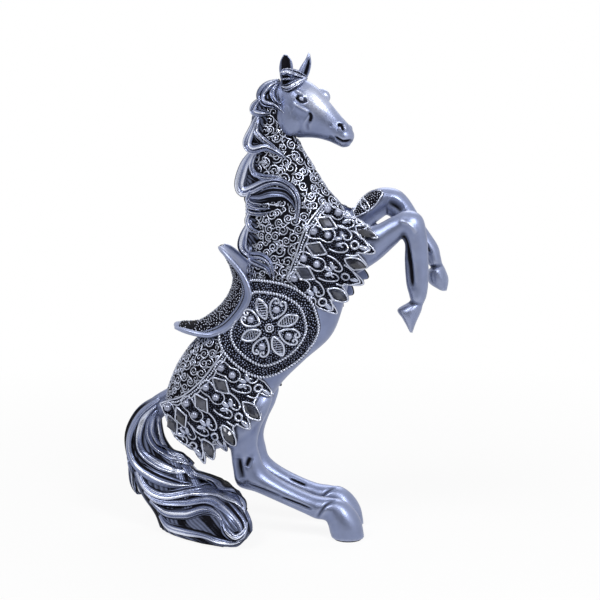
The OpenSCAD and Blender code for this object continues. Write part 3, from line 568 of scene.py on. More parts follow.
def put(tree, kind, inputs=None, **settings):
    """Adds a node, with its properties, and links or sets its inputs by name or number."""
    node = tree.nodes.new(kind)
    for name, value in settings.items():
        setattr(node, name, value)
    for name, value in (inputs or {}).items():
        if isinstance(name, int):
            socket = node.inputs[name]
        else:
            socket = next(s for s in node.inputs if s.name == name and s.enabled)
        if isinstance(value, bpy.types.Node):
            value = next(s for s in value.outputs if s.enabled)
        if isinstance(value, bpy.types.NodeSocket):
            tree.links.new(value, socket)
        else:
            socket.default_value = value
    return node


def open_tree(name, **inputs):
    """New Geometry Nodes tree with named inputs, and the outputs of its input node."""
    tree = bpy.data.node_groups.new(name, "GeometryNodeTree")
    tree.interface.new_socket("Geometry", in_out="INPUT", socket_type="NodeSocketGeometry")
    for label, kind in inputs.items():
        label = label.replace("_", " ").capitalize()
        tree.interface.new_socket(label, in_out="INPUT", socket_type="NodeSocket" + kind)
    tree.interface.new_socket("Geometry", in_out="OUTPUT", socket_type="NodeSocketGeometry")
    return tree, tree.nodes.new("NodeGroupInput").outputs


def close_tree(tree, shape, material):
    """Ends a tree in real, smooth, finished geometry."""
    real = put(tree, "GeometryNodeRealizeInstances", {"Geometry": shape})
    smooth = put(tree, "GeometryNodeSetShadeSmooth", {"Geometry": real})
    done = put(tree, "GeometryNodeSetMaterial", {"Geometry": smooth, "Material": material})
    tree.links.new(done.outputs[0], tree.nodes.new("NodeGroupOutput").inputs[0])
    return tree


def named(tree, name, kind="FLOAT"):
    node = put(tree, "GeometryNodeInputNamedAttribute", {"Name": name}, data_type=kind)
    return node.outputs["Attribute"]


def times(tree, a, b):
    return put(tree, "ShaderNodeMath", {0: a, 1: b}, operation="MULTIPLY")


def between(tree, low, high, seed):
    """Random number for each copy."""
    return put(tree, "FunctionNodeRandomValue", {"Min": low, "Max": high, "Seed": seed},
               data_type="FLOAT")


def spun(tree, rotation, angle):
    """Rotation with a further turn about its own z."""
    about = put(tree, "FunctionNodeAxisAngleToRotation", {"Axis": (0.0, 0.0, 1.0), "Angle": angle})
    return put(tree, "FunctionNodeRotateRotation", {"Rotation": rotation, "Rotate By": about},
               rotation_space="LOCAL")


def copies(tree, points, shape, rotation, scale):
    return put(tree, "GeometryNodeInstanceOnPoints",
               {"Points": points, "Instance": shape, "Rotation": rotation, "Scale": scale})


def scattered(tree, start, mask):
    """Points over a surface, at least a spacing apart, where its mask allows them."""
    spots = put(tree, "GeometryNodeDistributePointsOnFaces",
                {"Mesh": start["Geometry"], "Distance Min": start["Spacing"],
                 "Density Max": start["Density"], "Density Factor": named(tree, mask),
                 "Seed": start["Seed"]}, distribute_method="POISSON")
    return spots.outputs["Points"], spots.outputs["Rotation"]


def washed_and_highlit(tree, shape, height, low, high):
    """Leaves the dark wash low on a raised piece, and paints a highlight on its top."""
    patina = ranged(tree, height, low, high, 1.0, -0.7)
    return put(tree, "GeometryNodeStoreNamedAttribute",
               {"Geometry": shape, "Name": "patina", "Value": patina}, data_type="FLOAT",
               domain="POINT")


def round_wire(tree, start, path, sides):
    """Ends a tree in round wire, with a painted highlight where it faces the way that the line calls
    up.
    """
    ring = put(tree, "GeometryNodeCurvePrimitiveCircle", {"Resolution": sides, "Radius": 1.0})
    radius = times(tree, named(tree, "thickness"), start["Radius"])
    wire = put(tree, "GeometryNodeCurveToMesh",
               {"Curve": path, "Profile Curve": ring, "Scale": radius, "Fill Caps": True})
    facing = put(tree, "ShaderNodeVectorMath", {0: put(tree, "GeometryNodeInputNormal"),
                 1: named(tree, "up", "FLOAT_VECTOR")}, operation="DOT_PRODUCT")
    return close_tree(tree, washed_and_highlit(tree, wire, facing.outputs["Value"], 0.25, 0.95), start["Material"])


def highlit_bead(tree, subdivisions):
    """Bead of one unit with a painted highlight on its top."""
    bead = put(tree, "GeometryNodeMeshIcoSphere", {"Radius": 0.5, "Subdivisions": subdivisions})
    height = put(tree, "ShaderNodeSeparateXYZ", {0: put(tree, "GeometryNodeInputPosition")})
    return washed_and_highlit(tree, bead.outputs["Mesh"], height.outputs["Z"], 0.1, 0.48)


def wire_tree():
    """Round wire along the lines of a mesh."""
    tree, start = open_tree("raised_wire", radius="Float", material="Material")
    path = put(tree, "GeometryNodeMeshToCurve", {"Mesh": start["Geometry"]})
    return round_wire(tree, start, path, WIRE_SIDES)


def bead_tree():
    """Beads along the lines of a mesh, stretched and slanted to make a rope."""
    tree, start = open_tree("beaded_line", pitch="Float", size="Vector", slant="Float",
                            material="Material")
    path = put(tree, "GeometryNodeMeshToCurve", {"Mesh": start["Geometry"]})
    even = put(tree, "GeometryNodeResampleCurve", {"Curve": path}, mode="LENGTH")
    tree.links.new(start["Pitch"], even.inputs["Length"])
    bead = highlit_bead(tree, 2)
    tangent = put(tree, "GeometryNodeInputTangent")
    stand = put(tree, "FunctionNodeAxesToRotation",
                {"Primary Axis": named(tree, "up", "FLOAT_VECTOR"), "Secondary Axis": tangent},
                primary_axis="Z", secondary_axis="X")
    beads = copies(tree, even, bead, spun(tree, stand, start["Slant"]), start["Size"])
    return close_tree(tree, beads, start["Material"])


def grain_tree():
    """Grains scattered over a surface, where its mask allows them."""
    tree, start = open_tree("granulation", spacing="Float", density="Float", size="Float",
                            seed="Int", material="Material")
    points, rotation = scattered(tree, start, "grains")
    size = times(tree, between(tree, 0.7, 1.15, start["Seed"]), start["Size"])
    grains = copies(tree, points, highlit_bead(tree, 1), rotation, size)
    return close_tree(tree, grains, start["Material"])


def scroll_tree():
    """Scrolls of wire scattered over a surface and bent down on to it."""
    tree, start = open_tree("scrollwork", shape="Object", spacing="Float", density="Float",
                            curl="Float", radius="Float", lift="Float", seed="Int",
                            material="Material")
    points, rotation = scattered(tree, start, "scrolls")
    drawn = put(tree, "GeometryNodeObjectInfo", {"Object": start["Shape"]})
    curl = put(tree, "GeometryNodeMeshToCurve", {"Mesh": drawn.outputs["Geometry"]})
    turned = spun(tree, rotation, between(tree, 0.0, 2 * math.pi, start["Seed"]))
    flip = put(tree, "ShaderNodeMath", {0: between(tree, -1.0, 1.0, 0)}, operation="SIGN")
    reach = times(tree, between(tree, 0.75, 1.15, SEED), start["Curl"])
    size = put(tree, "ShaderNodeCombineXYZ",
               {"X": times(tree, reach, flip), "Y": reach, "Z": reach})
    curls = copies(tree, points, curl, turned, size)
    loose = put(tree, "GeometryNodeRealizeInstances", {"Geometry": curls})
    nearest = put(tree, "GeometryNodeProximity", {"Geometry": start["Geometry"]},
                  target_element="FACES")
    way = put(tree, "GeometryNodeInputNormal")
    up = put(tree, "GeometryNodeSampleNearestSurface",
             {"Mesh": start["Geometry"], "Value": way}, data_type="FLOAT_VECTOR")
    rise = put(tree, "ShaderNodeVectorMath", {0: up, "Scale": start["Lift"]}, operation="SCALE")
    laid = put(tree, "GeometryNodeSetPosition",
               {"Geometry": loose, "Position": nearest.outputs["Position"], "Offset": rise})
    kept = put(tree, "GeometryNodeStoreNamedAttribute",
               {"Geometry": laid, "Name": "up", "Value": up}, data_type="FLOAT_VECTOR",
               domain="POINT")
    return round_wire(tree, start, kept, CURL_SIDES)


def setting_tree():
    """Copies of a cut stone or pearl, each turned and sized for its place."""
    tree, start = open_tree("set_pieces", shape="Object", material="Material")
    shape = put(tree, "GeometryNodeObjectInfo", {"Object": start["Shape"]})
    turn = put(tree, "FunctionNodeEulerToRotation", {"Euler": named(tree, "turn", "FLOAT_VECTOR")})
    spots = put(tree, "GeometryNodeMeshToPoints", {"Mesh": start["Geometry"]})
    made = copies(tree, spots, shape.outputs["Geometry"], turn, named(tree, "size", "FLOAT_VECTOR"))
    return close_tree(tree, made, start["Material"])


def scroll_shape():
    """Flat scroll: a spiral whose tail turns back into a smaller one, about one unit across."""
    turn = np.linspace(0, 3.4 * math.pi, 17)
    out = 0.1 + 0.9 * (turn / turn[-1]) ** 0.9
    large = np.stack([out * np.cos(turn), out * np.sin(turn)], -1)
    turn = np.linspace(0, -2.3 * math.pi, 10)[1:]
    out = np.linspace(0.62, 0.12, len(turn))
    small = np.stack([-1.62 + out * np.cos(turn), -0.3 + out * np.sin(turn)], -1)
    flat = np.concatenate([large, small]) + np.array((0.5, 0.1))
    points = np.concatenate([flat, np.zeros((len(flat), 1))], axis=1)
    mesh = to_mesh(points, [], [(i, i + 1) for i in range(len(points) - 1)])
    give(mesh, "thickness", 0.6 + 0.6 * np.sin(np.linspace(0, math.pi, len(points))))
    return mesh


TREES = {}


def grow(name, mesh, kind, finish, **values):
    """Runs a tree on a mesh and keeps the result as a plain mesh object."""
    if kind not in TREES:
        TREES[kind] = kind()
    tree = TREES[kind]
    values["material"] = FINISHES[finish]
    host = stood(name, mesh)
    step = host.modifiers.new(tree.name, "NODES")
    step.node_group = tree
    for item in tree.interface.items_tree:
        key = item.name.lower()
        if item.in_out == "INPUT" and key in values:
            step[item.identifier] = values[key]
    graph = bpy.context.evaluated_depsgraph_get()
    made = bpy.data.meshes.new_from_object(host.evaluated_get(graph), depsgraph=graph)
    if not made.polygons:
        raise RuntimeError(f"{name}: the tree {tree.name} made nothing")
    host.modifiers.clear()
    host.data = made
    made.name = name
    bpy.data.meshes.remove(mesh)
    return host


def grow_copies(name, mesh, kind, finish, shape, **values):
    """Runs a tree that lays copies of a shape."""
    host = stood("copied_shape", shape)
    made = grow(name, mesh, kind, finish, shape=host, **values)
    bpy.data.objects.remove(host)
    return made


# Most scrolls and grains to a square metre, before those too close together are left out
SCROLL_DENSITY = 2e6
GRAIN_DENSITY = 3e6
# A curl's wire as a share of the other wires, and how far it is lifted as a share of its radius
CURL_WIRE = 0.9
CURL_LIFT = 0.4


def scrollwork(name, mesh):
    """Scrolls over a surface, where its mask allows them."""
    radius = CURL_WIRE * sizes().wire
    return grow_copies(name, mesh, scroll_tree, "silver_wire", scroll_shape(),
                       spacing=sizes().scroll_room, density=SCROLL_DENSITY, curl=sizes().scroll,
                       radius=radius, lift=CURL_LIFT * radius, seed=SEED)


def granulation(name, mesh, finish, size):
    """Grains over a surface, where its mask allows them."""
    return grow(name, mesh, grain_tree, finish, spacing=sizes().grain_room,
                density=GRAIN_DENSITY, size=size, seed=SEED)


def beading(name, lines, pitch, size, slant=0.0):
    return grow(name, lines.mesh(), bead_tree, "silver_wire", pitch=pitch, size=size, slant=slant)


def wirework(name, lines):
    return grow(name, lines.mesh(), wire_tree, "silver_wire", radius=sizes().wire)


# Finishes

FINISHES = {}


def blend(tree, factor, a, b):
    """Mix of two colours."""
    return put(tree, "ShaderNodeMix", {"Factor": factor, "A": a, "B": b}, data_type="RGBA",
               clamp_factor=True)


def ranged(tree, value, low, high, to_low, to_high):
    return put(tree, "ShaderNodeMapRange", {"Value": value, "From Min": low, "From Max": high,
               "To Min": to_low, "To Max": to_high})


def new_finish(name):
    """Tree and shader of a new material, and the place on the statue."""
    finish = bpy.data.materials.new(name)
    finish.use_nodes = True
    tree = finish.node_tree
    place = put(tree, "ShaderNodeTexCoord").outputs["Object"]
    FINISHES[name] = finish
    return tree, tree.nodes["Principled BSDF"], place


def noise(tree, place, scale, detail):
    return put(tree, "ShaderNodeTexNoise", {"Vector": place, "Scale": scale, "Detail": detail})


def tone(colour, level=1.0):
    return [level * c for c in colour[:3]] + [1.0]


def link_bump(tree, shader, height, strength, distance):
    bump = put(tree, "ShaderNodeBump", {"Height": height, "Strength": strength,
               "Distance": distance})
    tree.links.new(bump.outputs["Normal"], shader.inputs["Normal"])


def silver_finish(name, silver, crest, wash, metal, rough, wash_all_over=0.0):
    """Silver over a dark wash, which stays in the hollows; below zero the wash gives way to a painted
    highlight in the crest colour.
    """
    tree, shader, place = new_finish(name)
    cloud = noise(tree, place, 110.0, 5.0)
    speck = noise(tree, place, 1400.0, 2.0)
    patina = put(tree, "ShaderNodeAttribute", attribute_name="patina").outputs["Fac"]
    uneven = ranged(tree, cloud, 0.3, 0.7, 0.95, 1.4)
    settled = put(tree, "ShaderNodeMath", {0: patina, 1: uneven, 2: wash_all_over},
                  operation="MULTIPLY_ADD", use_clamp=True)
    clouded = ranged(tree, cloud, 0.35, 0.65, 0.0, 1.0)
    even = blend(tree, clouded, tone(silver, 0.86), tone(silver))
    # Painted highlight: a wash below zero turns the silver towards the crest colour
    shine = ranged(tree, patina, 0.0, -1.0, 0.0, 1.0)
    highlit = blend(tree, shine, even, tone(crest))
    base = blend(tree, settled, highlit, tone(wash))
    tree.links.new(base.outputs["Result"], shader.inputs["Base Color"])
    metallic = ranged(tree, settled, 0.0, 1.0, metal, 0.15 * metal)
    tree.links.new(metallic.outputs["Result"], shader.inputs["Metallic"])
    polish = ranged(tree, speck, 0.3, 0.7, rough - 0.05, rough + 0.07)
    matt = put(tree, "ShaderNodeMath", {0: settled, 1: 0.25, 2: polish}, operation="MULTIPLY_ADD")
    tree.links.new(matt.outputs[0], shader.inputs["Roughness"])
    shader.inputs["Specular IOR Level"].default_value = 0.03
    link_bump(tree, shader, speck, 0.05, 0.1 * MM)


def flecked_finish(name, colour, levels, scale, detail, span=None, polish=None, nap=None, **constants):
    """Finish whose colour runs between two levels in soft flecks, with an uneven polish or a nap."""
    tree, shader, place = new_finish(name)
    fleck = noise(tree, place, scale, detail)
    factor = ranged(tree, fleck, *span, 0.0, 1.0) if span else fleck
    base = blend(tree, factor, tone(colour, levels[0]), tone(colour, levels[1]))
    tree.links.new(base.outputs["Result"], shader.inputs["Base Color"])
    if polish:
        rough = ranged(tree, fleck, 0.3, 0.7, *polish)
        tree.links.new(rough.outputs["Result"], shader.inputs["Roughness"])
    if nap:
        link_bump(tree, shader, fleck, *nap)
    for socket, value in constants.items():
        shader.inputs[socket.replace("_", " ").title()].default_value = value


def length_of(name, description, millimetres):
    return FloatProperty(name=name, description=description, default=millimetres * MM, min=0.0,
                         unit="LENGTH", precision=5)


def colour_of(name, description, *rgb):
    return FloatVectorProperty(name=name, description=description, subtype="COLOR", size=4,
                               default=(*rgb, 1.0))


class StatueSizes(bpy.types.PropertyGroup):
    """Sizes of the ornament, the hair and the camera."""

    wire: length_of("Wire", "Radius of the raised wire", 0.46)
    scroll: length_of("Scroll", "Radius of a curl of the scrollwork", 3.5)
    scroll_room: length_of("Scroll spacing", "Least distance between curls", 6.0)
    grain: length_of("Grain", "Diameter of a grain of the granulation", 1.1)
    grain_room: length_of("Grain spacing", "Least distance between grains", 1.25)
    rope: length_of("Rope", "Thickness of the rope borders", 2.0)
    bead: length_of("Bead", "Diameter of a bead of the drapes' upper border", 1.4)
    pearl: length_of("Pearl", "Diameter of a pearl", 4.6)
    drape: length_of("Drape", "Thickness of the drapes and flaps", 2.2)
    lens: FloatProperty(name="Lens", description="Focal length of the camera, in millimetres",
                        default=83.6, min=1.0)
    strands: IntProperty(name="Strands", description="Fine strands round the tail", default=46,
                         min=8)


class StatueColours(bpy.types.PropertyGroup):
    """Colours of the finishes and the stage."""

    silver: colour_of("Silver", "Rubbed silver of the body", 0.235, 0.275, 0.435)
    bright: colour_of("Bright silver", "Silver of wires and beads", 0.47, 0.51, 0.65)
    # Colour of the painted highlights on crests, on the face and on the tops of wires, beads and grains
    crest: colour_of("Painted highlights", "Brightest silver, on the crests", 0.78, 0.82, 0.95)
    wash: colour_of("Dark wash", "Antique wash in the hollows", 0.006, 0.006, 0.009)
    stone: colour_of("Stone", "Smoky set stones", 0.022, 0.024, 0.034)
    pearl: colour_of("Pearl", "Silver pearls", 0.40, 0.43, 0.56)
    felt: colour_of("Felt", "Felt under the feet", 0.02, 0.02, 0.022)
    steel: colour_of("Steel", "Pins and rods", 0.5, 0.5, 0.5)
    floor: colour_of("Floor", "Floor and backdrop", 0.9, 0.9, 0.9)


def sizes():
    return bpy.context.scene.statue_sizes


def mix_finishes():
    """Makes all finishes from the colours of the panel."""
    c = bpy.context.scene.statue_colours
    silver_finish("silver_skin", c.silver, c.crest, c.wash, 0.8, 0.36)
    silver_finish("silver_hair", c.silver, c.crest, c.wash, 0.8, 0.26)
    silver_finish("silver_wire", c.bright, c.crest, c.wash, 0.85, 0.24)
    silver_finish("dark_silver", c.silver, c.silver, c.wash, 0.6, 0.4, wash_all_over=0.6)
    silver_finish("silver_ground", c.silver, c.crest, c.wash, 0.4, 0.42, wash_all_over=0.9)
    flecked_finish("smoky_stone", c.stone, (1.0, 3.5), 160.0, 3.0, span=(0.4, 0.7),
                   polish=(0.06, 0.14), metallic=0.35, coat_weight=0.6)
    flecked_finish("silver_pearl", c.pearl, (0.7, 1.0), 220.0, 2.0, span=(0.35, 0.65),
                   polish=(0.16, 0.26), metallic=0.55)
    flecked_finish("black_felt", c.felt, (1.0, 1.8), 2200.0, 4.0, nap=(0.5, 0.2 * MM),
                   roughness=0.95)
    flecked_finish("pin_steel", c.steel, (0.7, 1.0), 900.0, 3.0, polish=(0.25, 0.4), metallic=1.0)


def trunk_piece(first, last, steps, sides):
    """Stretch of the trunk between two stations, with the station and angle of each point."""
    t = np.linspace(first, last, steps + 1)
    angle = round_angles(sides)
    grid = on_section(curve(TRUNK_ROWS, t)[:, None, :], angle[None, :])
    return Clay.of(*tube(grid)), np.repeat(t, sides), np.tile(angle, steps + 1)


class STATUE_OT_trunk(bpy.types.Operator):
    """Casts the torso and the neck, with scrollwork on the croup, the breast and the neck"""

    bl_idname = "statue.trunk"
    bl_label = "Torso and neck"

    # Darkness of the ground under the scrolls
    GROUND = 1.3
    # Steps along each piece, and sides round it
    TORSO_GRID = (160, 140)
    NECK_GRID = (110, 120)
    BEHIND_JAW = [(-2, 267), (-4.5, 255), (-0.5, 246), (7, 243)]

    def execute(self, context):
        torso, t, angle = trunk_piece(0, NECK_ROOT, *self.TORSO_GRID)
        upper = step_up(-0.1, 0.25, np.sin(angle))
        croup = upper * step_up(1.2, 1.8, t) * (1 - step_up(4.8, 5.3, t))
        lowest = 0.1 - 1.4 * step_up(7.6, 9.6, t)
        breast = step_up(7.0, 7.3, t) * step_up(0.0, 0.2, np.sin(angle) - lowest)
        torso_scrolls = np.clip(croup + breast, 0, 1)
        torso.dark = self.GROUND * torso_scrolls

        neck, t, angle = trunk_piece(NECK_ROOT, len(TRUNK_ROWS) - 1, *self.NECK_GRID)
        neck.carve(self.BEHIND_JAW, width=4.0, depth=0.8, dark=1.0, fade=False)
        neck_scrolls = 1 - step_up(15.3, 15.7, t)
        neck.dark = np.maximum(neck.dark, self.GROUND * neck_scrolls)

        for name, clay, scrolls in (("torso", torso, torso_scrolls), ("neck", neck, neck_scrolls)):
            mesh = clay.ground("scrolls", scrolls)
            keep_casting(clay, name)
            mount(scrollwork(f"{name}_scrolls", mesh), "silver_resin")
        return {"FINISHED"}


def turn_head(points):
    """Turns the head to the horse's right, from the seam forwards."""
    out = points.copy()
    amount = step_up(-6, 8, points[:, 0])
    out[:, 0] = points[:, 0] + math.sin(HEAD_TURN) * points[:, 1] * amount
    out[:, 1] = points[:, 1] - math.tan(HEAD_TURN) * np.maximum(points[:, 0], 0)
    return out


# Strokes seen from the side: path, width, depth, darkness, and whether they fade at the ends
EYE_STROKES = [
    ([(7.5, 271), (10.6, 269.3), (13.4, 266.8)], 1.8, -0.8),  # brow
    ([(9.2, 267.8), (11.4, 267.7), (13.2, 266.2)], 1.0, 0.5, 0.5),  # lid
    ([(9.3, 267.4), (8.5, 266.2)], 1.3, 0.7, 3.0, False),  # back corner
    ([(13.2, 266), (13.9, 264.5)], 1.3, 0.7, 3.0, False),  # front corner
    ([(8.6, 266.2), (10.4, 264.3), (12.4, 263.9), (13.6, 264.8)], 1.2, 0.8, 3.0, False),  # under it
    ([(6, 259.6), (10.5, 257), (14.5, 254.5)], 7.0, 0.8),  # plane of the cheek
    ([(6.4, 263.4), (11, 260.9), (16, 258.2)], 1.5, -1.0),  # cheekbone
    ([(16, 258), (17, 255.4), (16, 252.6)], 1.9, 1.0, 1.8),  # notch
    ([(16, 253), (14.6, 250.4), (15, 247.4)], 2.2, 0.6, 0.1),  # edge of the cheek
]
MUZZLE_STROKES = [
    ([(34, 250.9), (35.6, 250.4), (36.2, 248.4)], 1.7, 1.6, 2.8, False),  # nostril
    ([(28.2, 251.4), (29.2, 249.6)], 1.6, 0.4, 0.3),  # crease
    ([(31.8, 243.8), (36.2, 241.2), (41.2, 241.8)], 1.5, 1.3, 2.0),  # mouth
    ([(27, 243), (31, 241.5)], 3.0, 0.8, 0.4),  # chin groove
]
# How far forward the left eye lies on the turned head, and the muzzle's share of that
LEFT_SHIFT = 6.0
MUZZLE_SHARE = 0.3
# Painted shade on the head under the forelock: a dark stroke with no groove
FORELOCK_SHADE = [([(-2, 277), (4, 276.5), (10, 277.5)], 6.0, 0.0, 1.6)]
# Painted highlight on the front plane of the face, from beside the eye towards the nose
FACE_HIGHLIGHT = [(13.5, 271.5), (20, 264.5), (27.5, 258.5)]


# Eggs melted into the head: middle, radii and tilt
LIP = ((36, 0, 241), (4.2, 5.0, 3.2), -25)
PAIRED_EGGS = [
    ((5.5, 6.0, 256), (10.5, 5.0, 12), -15),  # cheek
    ((13.6, 8.6, 265.9), (2.4, 2.0, 1.8), -16),  # eye
    ((36.5, 4.2, 248.2), (3.2, 2.7, 3.0), -35),  # nostril
]
LEFT_BROW = ((19.5, 8.0, 267.6), (5.0, 3.6, 4.2), -35)


class STATUE_OT_head(bpy.types.Operator):
    """Casts the head, the ears and the forelock"""

    bl_idname = "statue.head"
    bl_label = "Head"

    HEAD_SIDES = 64
    EAR_SIDES = 48
    HEAD_WASH = 1.6
    EAR_WASH = 2.0
    EAR_DEPTH = 1.9

    def execute(self, context):
        shapes = [loft(HEAD_ROWS, self.HEAD_SIDES), ball(*LIP)]
        for hand in (RIGHT, LEFT):
            for (x, y, z), radii, tilt in PAIRED_EGGS:
                shapes.append(ball((x, y * hand, z), radii, tilt))
        shapes.append(ball(*LEFT_BROW))
        head = Clay.cast(shapes, voxel=0.4, rounds=6)
        head.points = turn_head(head.points)
        for hand, shift in ((RIGHT, 0.0), (LEFT, LEFT_SHIFT)):
            head.carve_all(EYE_STROKES, hand, shift)
            head.carve_all(MUZZLE_STROKES, hand, MUZZLE_SHARE * shift)
        # Painted shade under the forelock
        head.carve_all(FORELOCK_SHADE, RIGHT)
        head.antique(self.HEAD_WASH)
        # Painted highlight along the front plane of the face, on both sides
        for hand in (RIGHT, LEFT):
            head.paint_highlight(FACE_HIGHLIGHT, width=10.0, bright=0.6, hand=hand)
        keep_casting(head, "head")

        for name, rows, width, hollow in (
            ("ear_right", EAR_RIGHT_ROWS, 5.2, [(1.3, 274), (1.3, 282), (0.9, 289.5)]),
            ("ear_left", EAR_LEFT_ROWS, 3.0, [(9, 273), (11.5, 281), (13.6, 288)]),
        ):
            ear = Clay.cast([loft(rows, self.EAR_SIDES)], voxel=0.3, rounds=2)
            ear.carve(hollow, width, self.EAR_DEPTH, RIGHT, dark=0.5 * width, fade=False)
            ear.antique(self.EAR_WASH)
            keep_casting(ear, name)

        tuft = Locks()
        for path in FORELOCK:
            tuft.add(path, RIGHT, [SKINS["head"], SKINS["ear_right"]], thick=2.6, least=2.0)
        mount(tuft.piece("forelock_locks"), "hair_resin", "forelock")
        return {"FINISHED"}


# Locks of hair seen from the side: x, z and half width along each
FORELOCK = [
    [(-3, 280.5, 0.8), (1.5, 281.8, 2.2), (8, 280, 2.6), (13, 278.3, 0.8)],
    [(13, 278.5, 0.8), (8, 275.8, 2.4), (2.5, 272.8, 2.4), (-2, 273.3, 0.6)],
    [(11.5, 276, 0.6), (7, 273.5, 1.3), (2.5, 271, 1.2), (-1, 271.5, 0.3)],
    [(-2.5, 277, 0.5), (3, 277.8, 0.9), (8, 277, 0.8), (12, 277.5, 0.4)],
]
MANE = [
    [(-4, 277, 1.0), (-10.5, 273.5, 3.0), (-14, 268.5, 3.6), (-12, 264, 3.0), (-5.5, 262.5, 2.2),
     (0.5, 257.8, 0.4)],
    [(-4, 276, 0.8), (-7, 270, 1.8), (-5, 265.5, 1.6), (-1.5, 262.5, 0.4)],
    [(-14, 267, 1.0), (-18.5, 262, 2.4), (-18.5, 258.5, 2.6), (-13, 257.5, 2.0), (-8, 257.5, 0.4)],
    [(-16, 256, 1.5), (-20, 247, 3.0), (-22.5, 239.5, 3.6), (-19, 236.2, 3.2), (-10.5, 237.8, 2.6),
     (-3.5, 234.8, 1.8), (1.5, 231, 0.4)],
    [(-15, 254, 0.8), (-16.5, 247, 2.0), (-12.5, 242.5, 2.0), (-6, 238, 1.6), (-1, 233.8, 0.4)],
    [(-18, 236, 1.5), (-24, 227, 3.4), (-27.5, 216, 3.8), (-26, 210.5, 3.4), (-19, 212.5, 3.4),
     (-11, 216.3, 3.2), (-3, 217.6, 2.8), (4.5, 214.3, 2.6), (9, 208.5, 2.4), (9.8, 201, 1.8),
     (8.8, 192.6, 0.4)],
    [(-17, 234, 1.0), (-20, 227.5, 2.2), (-18.5, 222, 2.2), (-12, 220, 2.0), (-5, 220.2, 1.6),
     (0, 219.2, 0.4)],
    [(-20, 212, 1.2), (-23, 206, 2.4), (-19, 203.8, 1.6), (-9, 203.6, 0.4)],
    [(-21, 207, 1.0), (-22.5, 202.5, 1.8), (-16, 201, 1.3), (-7.3, 201.3, 0.4)],
    [(-21, 203, 1.0), (-22.5, 198.8, 1.8), (-15, 197.8, 1.3), (-7.3, 199.2, 0.4)],
    [(-20.5, 199, 1.2), (-23, 193, 2.2), (-20, 188.3, 2.2), (-13.5, 187, 0.4)],
    [(-20, 194, 1.4), (-25, 184, 3.0), (-26, 176.5, 3.4), (-21, 172.3, 3.0), (-13, 172.6, 2.6),
     (-7, 169.2, 2.0), (-3.8, 160, 0.4)],
    [(-20, 178, 1.0), (-21, 170, 2.2), (-15, 167.8, 2.0), (-8.5, 165.5, 1.6), (-6, 160.3, 0.4)],
]

# Hair under the great lock and the two above it, painted dark as shade
MANE_UNDER = [
    [(-23, 207, 1.2), (-15, 207, 3.4), (-7, 209.5, 4.6), (1, 209.5, 4.0), (6, 205.5, 2.2),
     (8, 201, 0.4)],
    [(-20, 231, 1.0), (-19, 224, 3.2), (-14, 219, 3.0), (-7, 219, 1.6), (-2, 219, 0.4)],
    [(-17, 253, 1.0), (-17, 246, 2.6), (-13, 240.5, 2.6), (-7, 238, 1.2), (-3, 236, 0.4)],
]

TAIL = [
    [(-80, 71.5, 0.7), (-80.5, 64, 1.4), (-78.5, 54.5, 1.6), (-73, 47, 1.6), (-65, 45, 1.4),
     (-60.5, 41.5, 0.5)],
    [(-80, 74.5, 1.2), (-84, 68.5, 2.4), (-85, 60, 2.6), (-81, 51.5, 2.8), (-73, 46.5, 2.6),
     (-64, 43.5, 1.9), (-58, 40, 0.5)],
    [(-80.5, 77.5, 1.2), (-88.5, 69.5, 2.8), (-92, 58.5, 3.1), (-90, 48.5, 3.3), (-80.5, 41.5, 3.4),
     (-68.5, 38, 2.6), (-58.5, 37.5, 0.6)],
    [(-99, 42, 1.7), (-98.5, 33.5, 2.6), (-97.5, 25.5, 2.6), (-95, 20, 1.7), (-91.5, 19.5, 0.4)],
    [(-79, 82, 1.6), (-91, 73, 3.3), (-98, 61, 3.6), (-99, 49.5, 3.6), (-93.5, 40, 3.8),
     (-81, 34.5, 4.1), (-67.5, 31.5, 3.4), (-56.5, 30, 0.7)],
    [(-64, 41.5, 1.2), (-57.5, 36, 2.0), (-50.5, 33, 1.5), (-46, 30, 0.5)],
    [(-93.5, 36, 2.4), (-86.5, 27, 3.1), (-73.5, 23.5, 3.1), (-57, 26.5, 2.9), (-40.5, 27.5, 2.9),
     (-26, 27, 2.9), (-19, 21.5, 0.7)],
    [(-84, 18.5, 1.9), (-73.5, 13, 2.9), (-59.5, 14, 2.9), (-46.5, 18.5, 2.4), (-37, 19, 1.6),
     (-32.5, 16, 0.4)],
    [(-77.5, 10, 1.7), (-70.5, 5.5, 2.6), (-58, 5, 2.6), (-44, 6, 2.6), (-34.5, 4.5, 2.4),
     (-25.5, 4, 1.7), (-20.5, 5, 0.4)],
    [(-58.5, 36, 1.2), (-49, 32.5, 2.6), (-38, 29, 2.9), (-27, 29, 2.9), (-21.5, 26, 2.4),
     (-19.5, 20.5, 0.5)],
    [(-87.5, 24.5, 2.2), (-77.5, 19.5, 2.9), (-60.5, 20, 2.9), (-44, 24, 2.9), (-30.5, 22.5, 3.1),
     (-21, 16, 3.1), (-19.5, 9, 2.4), (-25, 4.5, 0.6)],
    [(-33, 16.5, 1.2), (-30, 11, 2.9), (-24, 8, 2.9), (-19, 11.5, 2.2), (-17.5, 16, 0.5)],
]


